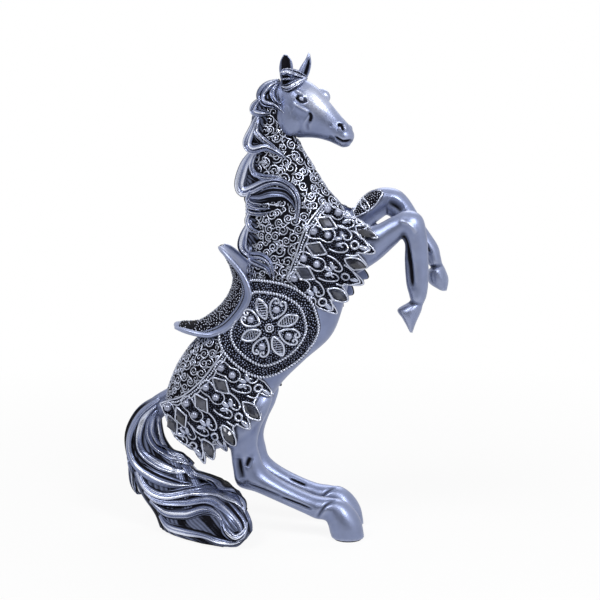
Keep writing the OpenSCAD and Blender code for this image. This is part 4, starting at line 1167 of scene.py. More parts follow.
class Locks:
    """Ribbons of hair that lie on the statue's side."""

    STEPS = 48
    ACROSS = 30
    # Streaks across a lock: how close, how far each drifts, and how strong
    FINE = ((6.0, 0.9, 1.0), (13.0, 1.5, 0.5))
    BROAD = ((3.4, 1.3, 0.9), (7.5, 2.4, 0.7), (16.0, 3.2, 0.35))
    SLANT = 0.45
    LEAST_HALF = 0.3
    SOFT_ROUNDS = 6
    ROOT = 1.2

    def __init__(self, streaks=FINE):
        self.streaks = streaks
        self.shapes, self.dark = [], []

    def add(self, path, hand, skins, thick, least, shade=0.0):
        f = np.linspace(0, 1, self.STEPS)
        line = share(path, f)
        along = unit(np.gradient(line[:, :2], axis=0))
        side = np.stack([-along[:, 1], along[:, 0]], -1)
        w = np.linspace(-1, 1, self.ACROSS + 1)
        half = np.maximum(line[:, 2], self.LEAST_HALF)
        flat = line[:, None, :2] + side[:, None, :] * (w[None, :] * half[:, None])[..., None]
        depth = np.max([skin.depth(flat, hand, least) for skin in skins], axis=0)
        depth = soften(depth, self.SOFT_ROUNDS)
        streak = np.tile(0.5 * np.cos(2.4 * w), (self.STEPS, 1))
        for close, drift, weight in self.streaks:
            sway = drift * np.sin(4 * f + len(self.shapes))
            sway += close * (len(self.shapes) + self.SLANT * f)
            broken = 0.65 + 0.6 * np.sin(7 * f[:, None] + close * (w[None, :] + len(self.shapes)))
            streak += weight * broken * np.sin(close * w[None, :] + sway[:, None])
        body = 0.2 + 0.8 * np.sqrt(1 - 0.98 * w**2)[None, :]
        taper = np.clip(np.minimum(6 * f + 0.4, 4 * (1 - f) + 0.25), 0, 1)[:, None]
        lift = thick * taper * body * np.clip(0.68 + 0.3 * streak, 0.3, 1)
        outer = np.concatenate([flat[..., :1], hand * (depth + lift)[..., None], flat[..., 1:]], -1)
        inner = outer.copy()
        inner[..., 1] = hand * (depth - self.ROOT)
        self.shapes.append(slab(outer, inner))
        # Dark wash in the grooves between strands, a painted highlight on their crests, darker towards
        # the lock's edges, and painted shade where the lock lies under others
        dark = 1.2 * step_up(-0.1, -0.9, streak) - 0.95 * step_up(0.2, 1.2, streak)
        dark = (dark + shade + 1.2 * (1 - body) ** 2) * np.clip(0.3 + 3 * f, 0, 1)[:, None]
        self.dark.append(np.concatenate([dark.ravel(), np.ones(dark.size)]))

    def piece(self, name):
        points, faces = joined(self.shapes)
        mesh = outwards(to_mesh((points + PLACE) * MM, faces))
        dark = np.clip(np.concatenate(self.dark), -1, 1)
        return dressed(name, mesh, "silver_hair", dark)


class STATUE_OT_mane(bpy.types.Operator):
    """Lays the locks of the mane over the crest of the neck"""

    bl_idname = "statue.mane"
    bl_label = "Mane"

    FROM = 8.5
    TO = len(TRUNK_ROWS) - 1.25
    REACH = 34.0
    HEIGHT = 1.6
    STRANDS = 16.0
    ALONG = 241
    ACROSS = 61
    SUNK = -0.8

    def execute(self, context):
        bed = self.bed()
        skins = [SKINS["torso"], SKINS["neck"], SKINS["head"], bed]
        locks = Locks()
        for hand in (RIGHT, LEFT):
            for path in MANE_UNDER:
                # Painted shade on the hair that lies under the locks
                locks.add(path, hand, skins, thick=2.2, least=1.6, shade=0.9)
            for path in MANE:
                locks.add(path, hand, skins, thick=3.2, least=2.2)
        mount(locks.piece("mane_locks"), "hair_resin", "mane")
        return {"FINISHED"}

    def bed(self):
        """Low hair over the crest, combed down on both sides, that shows between the locks."""
        t = np.linspace(self.FROM, self.TO, self.ALONG)[:, None]
        w = np.linspace(-1, 1, self.ACROSS)[None, :]
        ragged = self.REACH + 5 * np.sin(9 * t) + 3 * np.sin(23 * t + 1)
        ragged = ragged + 26 * step_up(12.2, 14, t)
        angle = 0.5 * math.pi + np.radians(ragged) * w
        wave = t + 0.35 * np.abs(w) + 0.1 * np.abs(w) ** 2 * np.sin(2.3 * t)
        strand = np.abs(np.sin(self.STRANDS * wave)) ** 0.7
        lift = 0.4 + self.HEIGHT * (1 - w**2) ** 1.5 + 0.9 * strand
        rows = curve(TRUNK_ROWS, t)
        outer = on_section(rows, angle, lift)
        inner = on_section(rows, angle, np.full_like(lift, self.SUNK))
        clay = Clay.of(*slab(outer, inner))
        dark = 0.65 * np.abs(w) ** 0.7 + 0.9 * (1 - strand) - 0.1
        clay.dark = np.concatenate([dark.ravel(), np.ones(strand.size)])
        mount(clay.piece("mane_bed", "silver_hair"), "hair_resin")
        return Skin(*slab(outer, inner))


FORE_RIGHT_STROKES = [
    ([(72.5, 187), (76, 171), (78, 156)], 3.4, 1.8, 1.3),  # behind the cannon bone
    ([(69.5, 143.8), (75, 146.5), (82, 146)], 2.0, 0.9, 0.5),  # over the hoof
    ([(70, 196), (76, 193), (80, 188)], 3.0, -0.8),  # knee
]
FORE_LEFT_STROKES = [
    ([(61, 204.5), (66, 201.5), (70, 198.5)], 5.5, 2.0, 0.75),  # knee
    ([(72, 195), (80, 184.5), (87, 174)], 2.2, 1.4, 1.6),  # along the cannon bone
    ([(86, 164.5), (90, 165.5), (95, 166)], 2.0, 0.8, 0.3),  # over the hoof
]
HIND_RIGHT_STROKES = [
    ([(-26, 50), (-25.5, 43), (-24, 37)], 4.6, 2.2, 0.9),  # hock, towards the back
    ([(-18.5, 50.5), (-21.5, 44.5)], 3.6, 1.8, 0.9),  # hock, towards the front
    ([(-22, 34.5), (-10, 30), (0, 26.4)], 2.2, 1.2, 0.5),  # along the cannon bone
    ([(0, 26.2), (10, 22.6), (18, 19.6)], 1.6, 1.3, 1.2),  # on to the fetlock
    ([(22, 14), (27, 22), (33, 25)], 2.2, 0.8, 0.5),  # fetlock
]
# One more groove, higher on the left cannon bone
HIND_LEFT_STROKES = [
    *HIND_RIGHT_STROKES[:-1],
    ([(4, 30.2), (10, 27.6), (14, 26)], 1.5, 1.0, 1.2),
    HIND_RIGHT_STROKES[-1],
]


class STATUE_OT_legs(bpy.types.Operator):
    """Casts the four legs, with their tendons, hocks and hooves"""

    bl_idname = "statue.legs"
    bl_label = "Legs"

    SIDES = 56
    WASH = 1.2
    # Station where the left hind leg begins to go back, and the stations that this takes
    BACK_FROM = 3
    BACK_OVER = 4

    def execute(self, context):
        station = np.arange(len(HIND_RIGHT_ROWS))
        back = HIND_LEFT_BACK * np.clip((station - self.BACK_FROM) / self.BACK_OVER, 0, 1)
        hind_left = HIND_RIGHT_ROWS * np.array((1, 1, 1, 1, 1, -1.0))
        hind_left[:, 0] -= back
        hind_left[:, 2] -= back

        for name, rows, strokes, shift in (
            ("foreleg_right", FORE_RIGHT_ROWS, FORE_RIGHT_STROKES, 0.0),
            ("foreleg_left", FORE_LEFT_ROWS, FORE_LEFT_STROKES, 0.0),
            ("hind_leg_right", HIND_RIGHT_ROWS, HIND_RIGHT_STROKES, 0.0),
            ("hind_leg_left", hind_left, HIND_LEFT_STROKES, -HIND_LEFT_BACK),
        ):
            leg = Clay.cast([loft(rows, self.SIDES, GROUND_UNDER_FOOT)], voxel=0.5, rounds=4)
            for hand in (RIGHT, LEFT):
                leg.carve_all(strokes, hand, shift)
            leg.points[:, 2] = np.maximum(leg.points[:, 2], GROUND_UNDER_FOOT)
            leg.antique(self.WASH)
            keep_casting(leg, name)
        return {"FINISHED"}


class STATUE_OT_tail(bpy.types.Operator):
    """Casts the tail, with its locks and strands"""

    bl_idname = "statue.tail"
    bl_label = "Tail"

    LOCKS = 7
    CORE_DEPTH = 1.2
    LOCK_DEPTH = 1.2
    STRAND_DEPTH = 0.5
    STEPS = 260
    AROUND = 200
    WASH = 0.8

    def execute(self, context):
        f = np.linspace(0, 1, self.STEPS + 1)[:, None]
        angle = round_angles(self.AROUND)[None, :]
        wind = angle + 2.6 * f + 0.25 * np.sin(9 * f + 2 * angle)
        lock = np.abs(np.cos(0.5 * self.LOCKS * wind)) ** 3
        strand = np.abs(np.cos(0.5 * sizes().strands * wind + 1.5 * np.sin(14 * f))) ** 2
        start = np.minimum(1, 5 * f)
        depth = start * (self.CORE_DEPTH + self.LOCK_DEPTH * lock + self.STRAND_DEPTH * strand)
        rows = curve(TAIL_ROWS, f * (len(TAIL_ROWS) - 1))
        grid = on_section(rows, angle, -depth)
        grid[..., 2] = np.maximum(grid[..., 2], GROUND_UNDER_FOOT)
        tail = Clay.of(*tube(grid))
        tail.dark = np.clip(0.3 + 0.6 * lock**2 + 0.3 * strand, 0, 1).ravel()
        tail.dark = tail.dark * start.repeat(self.AROUND)
        tail.antique(self.WASH)
        skin = tail.skin()
        mount(tail.piece("tail_casting", "silver_hair"), "hair_resin", "tail")
        locks = Locks(Locks.BROAD)
        for hand in (RIGHT, LEFT):
            for path in TAIL:
                locks.add(path, hand, [skin], thick=3.0, least=None)
        mount(locks.piece("tail_locks"), "hair_resin")
        return {"FINISHED"}


class STATUE_OT_seat(bpy.types.Operator):
    """Casts the crescent seat, with its smooth rim and jewelled top"""

    bl_idname = "statue.seat"
    bl_label = "Saddle seat"

    RIM = 0.45
    RIM_RADIUS = 1.7
    COVER = 0.88
    GLUE = 0.3
    # How far the cover and its beads stop short of both ends, in steps, and the beads' diameter
    COVER_ENDS = slice(7, -7)
    BEAD_ENDS = slice(6, -6)
    BEAD = 1.1
    STEPS = 120
    ACROSS = 40
    WASH = 1.0
    # The cover: how far it rises over the seat and reaches into it, and its darkness
    COVER_RISE = 0.3
    COVER_SINK = 0.6
    COVER_DARK = 0.5

    def execute(self, context):
        f = np.linspace(0, 1, self.STEPS + 1)
        row = share(SEAT_ROWS, f)
        section = curve(TRUNK_ROWS, row[:, 0])
        w = np.linspace(1, -1, self.ACROSS + 1)
        y = row[:, 3:4] * w[None, :]
        angle = np.arccos(np.clip(y / section[:, 4:5], -1, 1))
        swell = self.RIM + (1 - self.RIM) * (1 - w**4)
        height = self.GLUE + row[:, 2:3] + (row[:, 1:2] - row[:, 2:3]) * swell[None, :]
        top = on_section(section[:, None, :], angle, height)
        under = on_section(section[:, None, :], angle, self.GLUE + row[:, 2:3] + 0 * y)
        shapes = [slab(top, under)]
        rims = [0.5 * (top[:, 0] + under[:, 0]), 0.5 * (top[:, -1] + under[:, -1])]
        radii = self.RIM_RADIUS * np.clip(np.minimum(8 * f + 0.5, 8 * (1 - f) + 0.5), 0, 1)
        shapes += [sweep(rim, radii) for rim in rims]
        seat = Clay.cast(shapes, voxel=0.5, rounds=3)
        up = unit(top[:, self.ACROSS // 2] - on_section(section, 0 * f) * np.array((1, 0, 1)))
        seat.antique(self.WASH)
        mount(seat.piece("seat_casting", "silver_skin"), "silver_resin", "saddle_seat")

        inside = np.abs(w) <= self.COVER
        section, angle, height = section[:, None, :], angle[:, inside], height[:, inside]
        raised = on_section(section, angle, height + self.COVER_RISE)
        sunk = on_section(section, angle, height - self.COVER_SINK)
        cover = Clay.of(*slab(raised[self.COVER_ENDS], sunk[self.COVER_ENDS]))
        cover.dark = np.full(len(cover.points), self.COVER_DARK)
        mesh = cover.ground("grains", np.repeat((1.0, 0.0), len(cover.points) // 2))
        mount(cover.piece("seat_cover", "silver_ground"), "silver_resin")
        mount(granulation("seat_grains", mesh, "silver_wire", sizes().grain), "silver_resin")

        edge = Lines()
        for hand in (RIGHT, LEFT):
            line = np.abs(w - self.COVER * hand).argmin()
            edge.add(top[self.BEAD_ENDS, line], up[self.BEAD_ENDS])
        bead = self.BEAD * MM
        mount(beading("seat_beads", edge, bead, (bead, bead, bead)), "silver_resin")
        return {"FINISHED"}


# Ornament drawn flat, as distances out from a middle or down from an edge, and across
HEART = np.array([
    (6, 0), (8.5, 2.4), (11.5, 4.2), (14.5, 4.8), (17, 3.9), (18, 2.3), (17.3, 0.8), (15.8, 0.8),
    (15.3, 2.0), (16.2, 2.5),
])
PETAL = np.array([(5.5, 0), (8, 1.9), (12, 3.2), (16, 2.2), (18.5, 0)])
# A medallion's wires: shares of its length down, and millimetres across
CAPSULE = np.array([
    (0.02, 0), (0.04, 2.4), (0.1, 3.8), (0.18, 3.6), (0.24, 3), (0.3, 3.6), (0.37, 3.8), (0.43, 2.4),
    (0.45, 0),
])
SCROLLED_HEART = np.array([
    (0.42, 7.2), (0.52, 7.4), (0.62, 6.4), (0.68, 4.8), (0.69, 3), (0.66, 1.5), (0.61, 1.1),
    (0.58, 2), (0.59, 3.2), (0.62, 3.2),
])
LOBE = np.array([(0.69, 7), (0.79, 6.2), (0.88, 4.2), (0.95, 2), (1.0, 0)])
# Its petals: the share down, the millimetres across and the turn in degrees of each
SPRAY = [(0.5, 0, 0), (0.54, 2.9, -40), (0.54, -2.9, 40), (0.9, 0, 0)]
SPRAY_SIZE = (6.0, 3.0, 2.4)


def flat_at(origin, down, pattern):
    """Puts a flat drawing at a place, with its first axis along down."""
    down = unit(np.asarray(down, float))
    across = np.array((-down[1], down[0]))
    pattern = np.asarray(pattern, float)
    return origin + pattern[:, :1] * down + pattern[:, 1:] * across


def smooth(points, count):
    return share(points, np.linspace(0, 1, count))


def ring_points(radius, count=14):
    a = round_angles(count)
    return radius * np.stack([np.cos(a), np.sin(a)], -1)


# How far a wire's middle stands off the ground beneath it
WIRE_LIFT = 0.2


def pointing(degrees):
    """Way seen from the side, of length one."""
    return np.array((math.cos(math.radians(degrees)), math.sin(math.radians(degrees))))


class STATUE_OT_flaps(bpy.types.Operator):
    """Casts the saddle flaps, with two rope borders, a granulated band and a rosette"""

    bl_idname = "statue.flaps"
    bl_label = "Saddle flaps"

    RINGS = 26
    AROUND = 120
    # The two ropes, as shares of the way out from the middle
    OUTER = 0.965
    INNER = 0.73
    ROPE_LIFT = 0.3
    TURN = 68.0
    # How far the rosette is raised, the gap under the flap, and the darkness of its ground
    RAISED = 0.8
    GAP = 0.2
    DARK = 0.75
    # Thickness of the rosette's outlines and of the bars in its petals, and the bars' lift
    BOLD = 1.7
    FINE = 0.6
    FINE_LIFT = 0.1
    # Ropes: pitch, size of a strand and slant, for a thickness of one
    PITCH = 0.95
    STRAND = (1.3, 0.8, 1.0)
    SLANT = 0.7

    def execute(self, context):
        for hand, name in ((RIGHT, "right"), (LEFT, "left")):
            self.flap(hand, name)
        return {"FINISHED"}

    def flap(self, hand, name):
        thick = sizes().drape / MM
        rim = closed_share(FLAP_OUTLINE, np.linspace(0, 1, self.AROUND, endpoint=False))
        part = np.linspace(1, 0.02, self.RINGS)[:, None, None]
        flat = FLAP_MIDDLE + part * (rim - FLAP_MIDDLE)[None]
        depth = np.maximum(SKINS["torso"].depth(flat, hand), DRAPE_LEAST)
        lift = thick + self.RAISED * step_up(self.INNER, self.INNER - 0.06, part[..., 0])
        outer = np.concatenate([flat[..., :1], hand * (depth + lift)[..., None], flat[..., 1:]], -1)
        inner = outer.copy()
        inner[..., 1] = hand * (depth + self.GAP)
        grid = np.concatenate([inner[::-1], outer])
        clay = Clay.of(*tube(grid))
        SKINS[f"flap_{name}"] = skin = clay.skin()
        clay.dark = np.full(len(clay.points), self.DARK)
        share_out = np.concatenate([np.zeros(self.RINGS), part[:, 0, 0]]).repeat(self.AROUND)
        band = step_up(0.05, 0.1, share_out) * (1 - step_up(0.95, 0.98, share_out))
        mesh = clay.ground("grains", band)
        mount(clay.piece(f"flap_{name}_casting", "silver_ground"), "filigree_resin",
              f"saddle_flap_{name}")
        mount(granulation(f"flap_{name}_grains", mesh, "silver_hair", sizes().grain),
              "filigree_resin")

        ropes = Lines()
        for out in (self.OUTER, self.INNER):
            line = FLAP_MIDDLE + out * (rim - FLAP_MIDDLE)
            ropes.draw(skin, hand, line, lift=self.ROPE_LIFT, closed=True)
        rope = sizes().rope
        strand = tuple(share_of * rope for share_of in self.STRAND)
        mount(beading(f"flap_{name}_ropes", ropes, self.PITCH * rope, strand, self.SLANT * hand),
              "filigree_resin")

        wires = Lines()
        for k in range(4):
            heart, petal = pointing(self.TURN + 90 * k), pointing(self.TURN - 45 + 90 * k)
            for out, shape, count in ((heart, HEART, 30), (petal, PETAL, 16)):
                for side in (1, -1):
                    half = smooth(shape * (1, side), count)
                    wires.draw(skin, hand, flat_at(FLAP_MIDDLE, out, half), self.BOLD, WIRE_LIFT)
            for d in np.arange(8.0, 17.5, 1.5):
                wide = np.interp(d, PETAL[:, 0], PETAL[:, 1])
                bar = [(d - 0.8, -wide), (d, 0), (d + 0.8, wide)]
                line = flat_at(FLAP_MIDDLE, petal, bar)
                wires.draw(skin, hand, line, self.FINE, self.FINE_LIFT)
        for radius in (0.9, 2.3):
            wires.draw(skin, hand, FLAP_MIDDLE + ring_points(radius, 20), 1.0, WIRE_LIFT, True)
        mount(wirework(f"flap_{name}_wires", wires), "filigree_resin")


class Panel:
    """Drape on one side of the horse, hung between an upper and a lower line.

    Past either end of the lines it carries on straight, and sinks to pass under the flap.
    """

    COLS = 150
    ROWS = 44
    SINK = 0.12
    STEP = 0.05
    # Rounds of smoothing, and how far the drape may dip under the smooth form
    SOFT_ROUNDS = 14
    LAST_ROUNDS = 3
    DIP = 0.4
    # Its front over the horse, its back under the skin, and how much thinner a hidden end is
    OVER = 0.3
    UNDER = 0.8
    THINNER = 0.6

    def __init__(self, upper, lower, lobes, notch, ends, hand, skins, least, thick):
        self.upper, self.lower, self.hand = upper, lower, hand
        along = np.linspace(ends[0], ends[1], self.COLS)
        down = np.linspace(0, 1, self.ROWS)[:, None] * lobed(along, lobes, notch)[None, :]
        self.grid_flat = self.flat(along[None, :] + 0 * down, down)
        depth = np.max([skin.depth(self.grid_flat, hand, least) for skin in skins], axis=0)
        smooth_depth = soften(depth, self.SOFT_ROUNDS)
        depth = soften(np.maximum(smooth_depth, depth - self.DIP), self.LAST_ROUNDS)
        hidden = np.clip(np.abs(along - np.clip(along, 0, 1)) / self.SINK, 0, 1)
        self.outer = self.stand(depth + self.OVER + thick * (1 - self.THINNER * hidden))
        self.clay = Clay.of(*slab(self.outer, self.stand(depth - self.UNDER)))
        self.skin = self.clay.skin()

    def flat(self, along, down):
        """Points seen from the side, at shares along and down the drape."""
        u, l = self.on_line(self.upper, along), self.on_line(self.lower, along)
        return u + (l - u) * np.asarray(down, float)[..., None]

    def at(self, along, down):
        """One point seen from the side, and the way down the drape from it."""
        spot, under = self.flat(np.array([along, along]), np.array([down, down + 0.1]))
        return spot, under - spot

    def on_line(self, line, along):
        inside = np.clip(along, 0, 1)
        past = (np.abs(along - inside) / self.STEP)[..., None]
        edge = share(line, inside)
        return edge + past * (edge - share(line, np.clip(inside, self.STEP, 1 - self.STEP)))

    def stand(self, depth):
        side = self.hand * depth
        return np.stack([self.grid_flat[..., 0], side, self.grid_flat[..., 1]], -1)


def lobed(along, lobes, notch):
    """Reach of a lobed edge: each lobe has its place, its tip and its half width."""
    reach = np.full_like(along, notch)
    for middle, tip, half in lobes:
        f = np.clip(np.abs(along - middle) / half, 0, 1)
        reach = np.maximum(reach, notch + (tip - notch) * (1 - f**1.6))
    return reach


# Drapes: lobes (place, tip, half width), medallions and stones, as shares along and down
BREAST_LOBES = [(0.05, 1.2, 0.09), (0.25, 1.14, 0.09), (0.44, 1.06, 0.09), (0.63, 1.1, 0.09),
                (0.84, 1.1, 0.09), (1.03, 1.16, 0.1)]
RUMP_LOBES = [(-0.05, 1.08, 0.08), (0.2, 1.1, 0.06), (0.30, 1.06, 0.05), (0.45, 1.1, 0.06),
              (0.545, 1.1, 0.05), (0.67, 1.1, 0.06), (0.76, 1.14, 0.05), (0.92, 0.94, 0.09)]
BREAST_MEDALLIONS = [(0.05, -0.1), (0.36, 0.25), (0.65, 0.63), (0.97, 1.03)]
RUMP_MEDALLIONS = [(0.09, -0.04), (0.35, 0.30), (0.65, 0.545), (0.92, 0.76)]
BREAST_DIAMONDS = [(0.21, 0.24), (0.5, 0.26), (0.81, 0.24)]
RUMP_DIAMONDS = [(0.22, 0.28), (0.49, 0.26), (0.78, 0.31), (0.95, 0.54)]
BREAST_LEAVES = [(0.09, 0.96), (0.46, 0.9), (0.84, 0.92)]
RUMP_LEAVES = [(0.2, 0.9), (0.45, 0.92), (0.67, 0.92)]
# A pair of pearls in each medallion, and one in the last
PEARLS_DOWN = (0.13, 0.34)
FLAP_PEARL_OUT = 12.0
DIAMOND = (11.4, 6.6, 1.8)
LEAF = (12.2, 5.4, 1.8)
# Ornamented patch on the inner side of the raised left foreleg
FORELEG_UPPER = [(40, 198), (44.5, 205.5), (51, 210.5), (57, 211)]
FORELEG_LOWER = [(41.5, 195), (49.5, 199), (54.5, 203.5), (58, 209.5)]


class STATUE_OT_drapes(bpy.types.Operator):
    """Hangs the breast and rump drapes, with their lobes, wirework and granulated ground"""

    bl_idname = "statue.drapes"
    bl_label = "Drapes"

    NOTCH = 0.86
    # Ends of the drapes, as shares along their lines
    BREAST_ENDS = (-0.06, 1.14)
    RUMP_ENDS = (-0.14, 1)
    PATCH_THICK = 0.6
    PATCH_LEAF = [(0.35, 0.5)]
    # Half length and half width of the bezels
    DIAMOND_BEZEL = (7.0, 4.3)
    LEAF_BEZEL = (7.6, 3.6)
    PATCH_BEZEL = (5.0, 2.0)
    # Darkness of the ground, and size of its grains beside the saddle's
    DARK = 1.2
    GRAIN = 0.9
    # Rows of the grid where the upper border's beads and wire lie, and the beads' pitch
    BEAD_ROW = 2
    WIRE_ROW = 4
    PITCH = 1.1

    def execute(self, context):
        thick = sizes().drape / MM
        for hand, name in ((RIGHT, "right"), (LEFT, "left")):
            breast = Panel(BREAST_UPPER, BREAST_LOWER, BREAST_LOBES, self.NOTCH, self.BREAST_ENDS, hand,
                           [SKINS["torso"], SKINS[f"foreleg_{name}"]], DRAPE_LEAST, thick)
            self.dress(f"breast_drape_{name}", breast, BREAST_MEDALLIONS,
                       BREAST_DIAMONDS, BREAST_LEAVES)
            rump = Panel(RUMP_UPPER, RUMP_LOWER, RUMP_LOBES, self.NOTCH, self.RUMP_ENDS, hand,
                         [SKINS["torso"], SKINS[f"hind_leg_{name}"]], DRAPE_LEAST, thick)
            self.dress(f"rump_drape_{name}", rump, RUMP_MEDALLIONS, RUMP_DIAMONDS, RUMP_LEAVES)
        patch = Panel(FORELEG_UPPER, FORELEG_LOWER, [], 1.0, (0, 1), RIGHT,
                      [SKINS["foreleg_left"]], None, self.PATCH_THICK)
        self.dress("foreleg_patch", patch, [], [], self.PATCH_LEAF, self.PATCH_BEZEL, "silver_wire")
        return {"FINISHED"}

    def dress(self, name, panel, medallions, diamonds, leaves, leaf_bezel=LEAF_BEZEL,
              grain_finish="dark_silver"):
        SKINS[name] = panel
        clay = panel.clay
        front = np.zeros(len(clay.points))
        front[:len(front) // 2] = 1
        clay.dark = self.DARK * front
        mesh = clay.ground("grains", front)
        node = [name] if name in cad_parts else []
        mount(clay.piece(f"{name}_casting", "silver_skin"), "filigree_resin", *node)
        mount(granulation(f"{name}_grains", mesh, grain_finish, self.GRAIN * sizes().grain),
              "filigree_resin")

        wires, petals, beads = Lines(), Settings(), Lines()
        up = (0.0, panel.hand, 0.0)
        rim = np.concatenate([panel.outer[0], panel.outer[1:, -1], panel.outer[-1, -2::-1],
                              panel.outer[-2:0:-1, 0]])
        wires.add(rim, up, 1.3, True)
        for top, bottom in medallions:
            self.medallion(wires, petals, panel, top, bottom)
        for along, down in diamonds:
            self.bezel(wires, panel, along, down, *self.DIAMOND_BEZEL, 1.0)
        for along, down in leaves:
            self.bezel(wires, panel, along, down, *leaf_bezel, 2.0)
        if medallions:
            wires.add(panel.outer[self.WIRE_ROW], up, 1.2)
            beads.add(panel.outer[self.BEAD_ROW], up)
            size = sizes().bead
            mount(beading(f"{name}_beads", beads, self.PITCH * size, (size, size, size)),
                  "filigree_resin")
            mount(set_pieces(f"{name}_petals", petals, pearl_shape(), "silver_wire"),
                  "filigree_resin")
        mount(wirework(f"{name}_wires", wires), "filigree_resin")

    @staticmethod
    def medallion(wires, petals, panel, top, bottom):
        """Capsule of wire round a pair of pearls, over a scrolled heart, petals and a pointed lobe"""
        skin, hand = panel.skin, panel.hand
        start, end = panel.at(top, 0.0)[0], panel.at(bottom, 1.05)[0]
        down, length = end - start, np.linalg.norm(end - start)
        size = np.array((length, 1.0))
        for side in (1, -1):
            for shape, thick in ((CAPSULE, 1.1), (SCROLLED_HEART, 1.3), (LOBE, 1.4)):
                line = smooth(shape * size * (1, side), 32)
                wires.draw(skin, hand, flat_at(start, down, line), thick, WIRE_LIFT)
        ring = flat_at(start, down, ring_points(2.2) + (0.77 * length, 0))
        wires.draw(skin, hand, ring, 1.6, WIRE_LIFT, True)
        for out, aside, turn in SPRAY:
            spot = flat_at(start, down, [(out * length, aside)])[0]
            way = flat_at(np.zeros(2), down, [pointing(turn)])[0]
            petals.set(skin, hand, spot, way, SPRAY_SIZE, WIRE_LIFT)

    @staticmethod
    def bezel(wires, panel, along, down, half_long, half_wide, power):
        """Raised edge round a stone: straight sides at power one, bowed sides at power two"""
        a = round_angles(32)
        c, s = np.cos(a), np.sin(a)
        if power == 1.0:
            scale = 1 / (np.abs(c) + np.abs(s))
            rim = np.stack([half_long * c * scale, half_wide * s * scale], -1)
        else:
            rim = np.stack([half_long * c, half_wide * np.sign(s) * np.abs(s) ** power], -1)
        line = flat_at(*panel.at(along, down), rim)
        wires.draw(panel.skin, panel.hand, line, 1.5, 0.3, True)


def set_pieces(name, places, shape, finish):
    """One shape, set at every place."""
    return grow_copies(name, places.mesh(), setting_tree, finish, shape)


# Heights of a stone's foot and girdle, for a table at one, and the sizes of both tables
FOOT = -0.6
GIRDLE = 0.35
DIAMOND_TABLE = 0.62
LEAF_TABLE = 0.6
# How far the stones and the pearls stand off the ground
STONE_LIFT = 0.2
PEARL_LIFT = 0.9


def cut_shape(outline, table):
    """Unit stone: an outline, and a table over it that is smaller by a share."""
    n = len(outline)
    low = [(x, y, FOOT) for x, y in outline]
    girdle = [(x, y, GIRDLE) for x, y in outline]
    top = [(table * x, table * y, 1.0) for x, y in outline]
    faces = [tuple(range(n)), tuple(range(2 * n, 3 * n))]
    for ring in (0, n):
        for k in range(n):
            faces.append((ring + k, ring + (k + 1) % n, ring + n + (k + 1) % n, ring + n + k))
    return outwards(to_mesh(np.array(low + girdle + top), faces))


def pearl_shape():
    build = bmesh.new()
    bmesh.ops.create_uvsphere(build, u_segments=16, v_segments=10, radius=0.5)
    mesh = bpy.data.meshes.new("pearl")
    build.to_mesh(mesh)
    build.free()
    return mesh


class STATUE_OT_stones(bpy.types.Operator):
    """Sets the diamond stones, the leaf stones and the pearls"""

    bl_idname = "statue.stones"
    bl_label = "Stones and pearls"

    def execute(self, context):
        a = round_angles(16)
        marquise = np.stack([0.5 * np.cos(a), 0.5 * np.sign(np.sin(a)) * np.abs(np.sin(a))**2], -1)
        diamond = cut_shape(ring_points(0.5, 4), DIAMOND_TABLE)
        leaf = cut_shape(marquise, LEAF_TABLE)
        pearl = (sizes().pearl / MM,) * 3
        for part, diamonds, leaves, medallions in (
            ("breast", BREAST_DIAMONDS, BREAST_LEAVES, BREAST_MEDALLIONS),
            ("rump", RUMP_DIAMONDS, RUMP_LEAVES, RUMP_MEDALLIONS),
        ):
            pearls = [(top + (bottom - top) * down, down)
                      for top, bottom in medallions for down in PEARLS_DOWN][:-1]
            self.set_row(f"{part}_diamonds", part, diamonds, diamond, DIAMOND, "smoky_stone",
                         "stone", STONE_LIFT)
            self.set_row(f"{part}_leaf_stones", part, leaves, leaf, LEAF, "smoky_stone",
                         "stone", STONE_LIFT)
            self.set_row(f"{part}_pearls", part, pearls, pearl_shape(), pearl, "silver_pearl",
                         "pearl", PEARL_LIFT)
        places = Settings()
        for hand, name in ((RIGHT, "right"), (LEFT, "left")):
            for k in range(4):
                spot = FLAP_MIDDLE + FLAP_PEARL_OUT * pointing(STATUE_OT_flaps.TURN + 90 * k)
                places.set(SKINS[f"flap_{name}"], hand, spot, (0, 1), pearl, PEARL_LIFT)
        self.place("flap_pearls", places, pearl_shape(), "silver_pearl", "pearl")
        return {"FINISHED"}

    def set_row(self, node, part, spots, shape, size, finish, slot, lift):
        places = Settings()
        for name in ("right", "left"):
            panel = SKINS[f"{part}_drape_{name}"]
            for along, down in spots:
                places.set(panel.skin, panel.hand, *panel.at(along, down), size, lift)
        self.place(node, places, shape, finish, slot)

    @staticmethod
    def place(node, places, shape, finish, slot):
        made = set_pieces(f"{node}_set", places, shape.copy(), finish)
        if slot == "stone":
            made.data.polygons.foreach_set("use_smooth", np.zeros(len(made.data.polygons), bool))
        mount(made, slot, node)


class STATUE_OT_pins(bpy.types.Operator):
    """Gives the pins, dowels, rods and pads their finishes"""

    bl_idname = "statue.pins"
    bl_label = "Pins and pads"

    STEEL = ("neck_dowel", "head_dowel", "foreleg_pins", "hind_leg_rods", "tail_pin", "saddle_pins")
    FELT = ("hoof_pads", "tail_pad")

    def execute(self, context):
        for names, finish in ((self.STEEL, "pin_steel"), (self.FELT, "black_felt")):
            for name in names:
                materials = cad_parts[name].data.materials
                materials.clear()
                materials.append(FINISHES[finish])
        return {"FINISHED"}


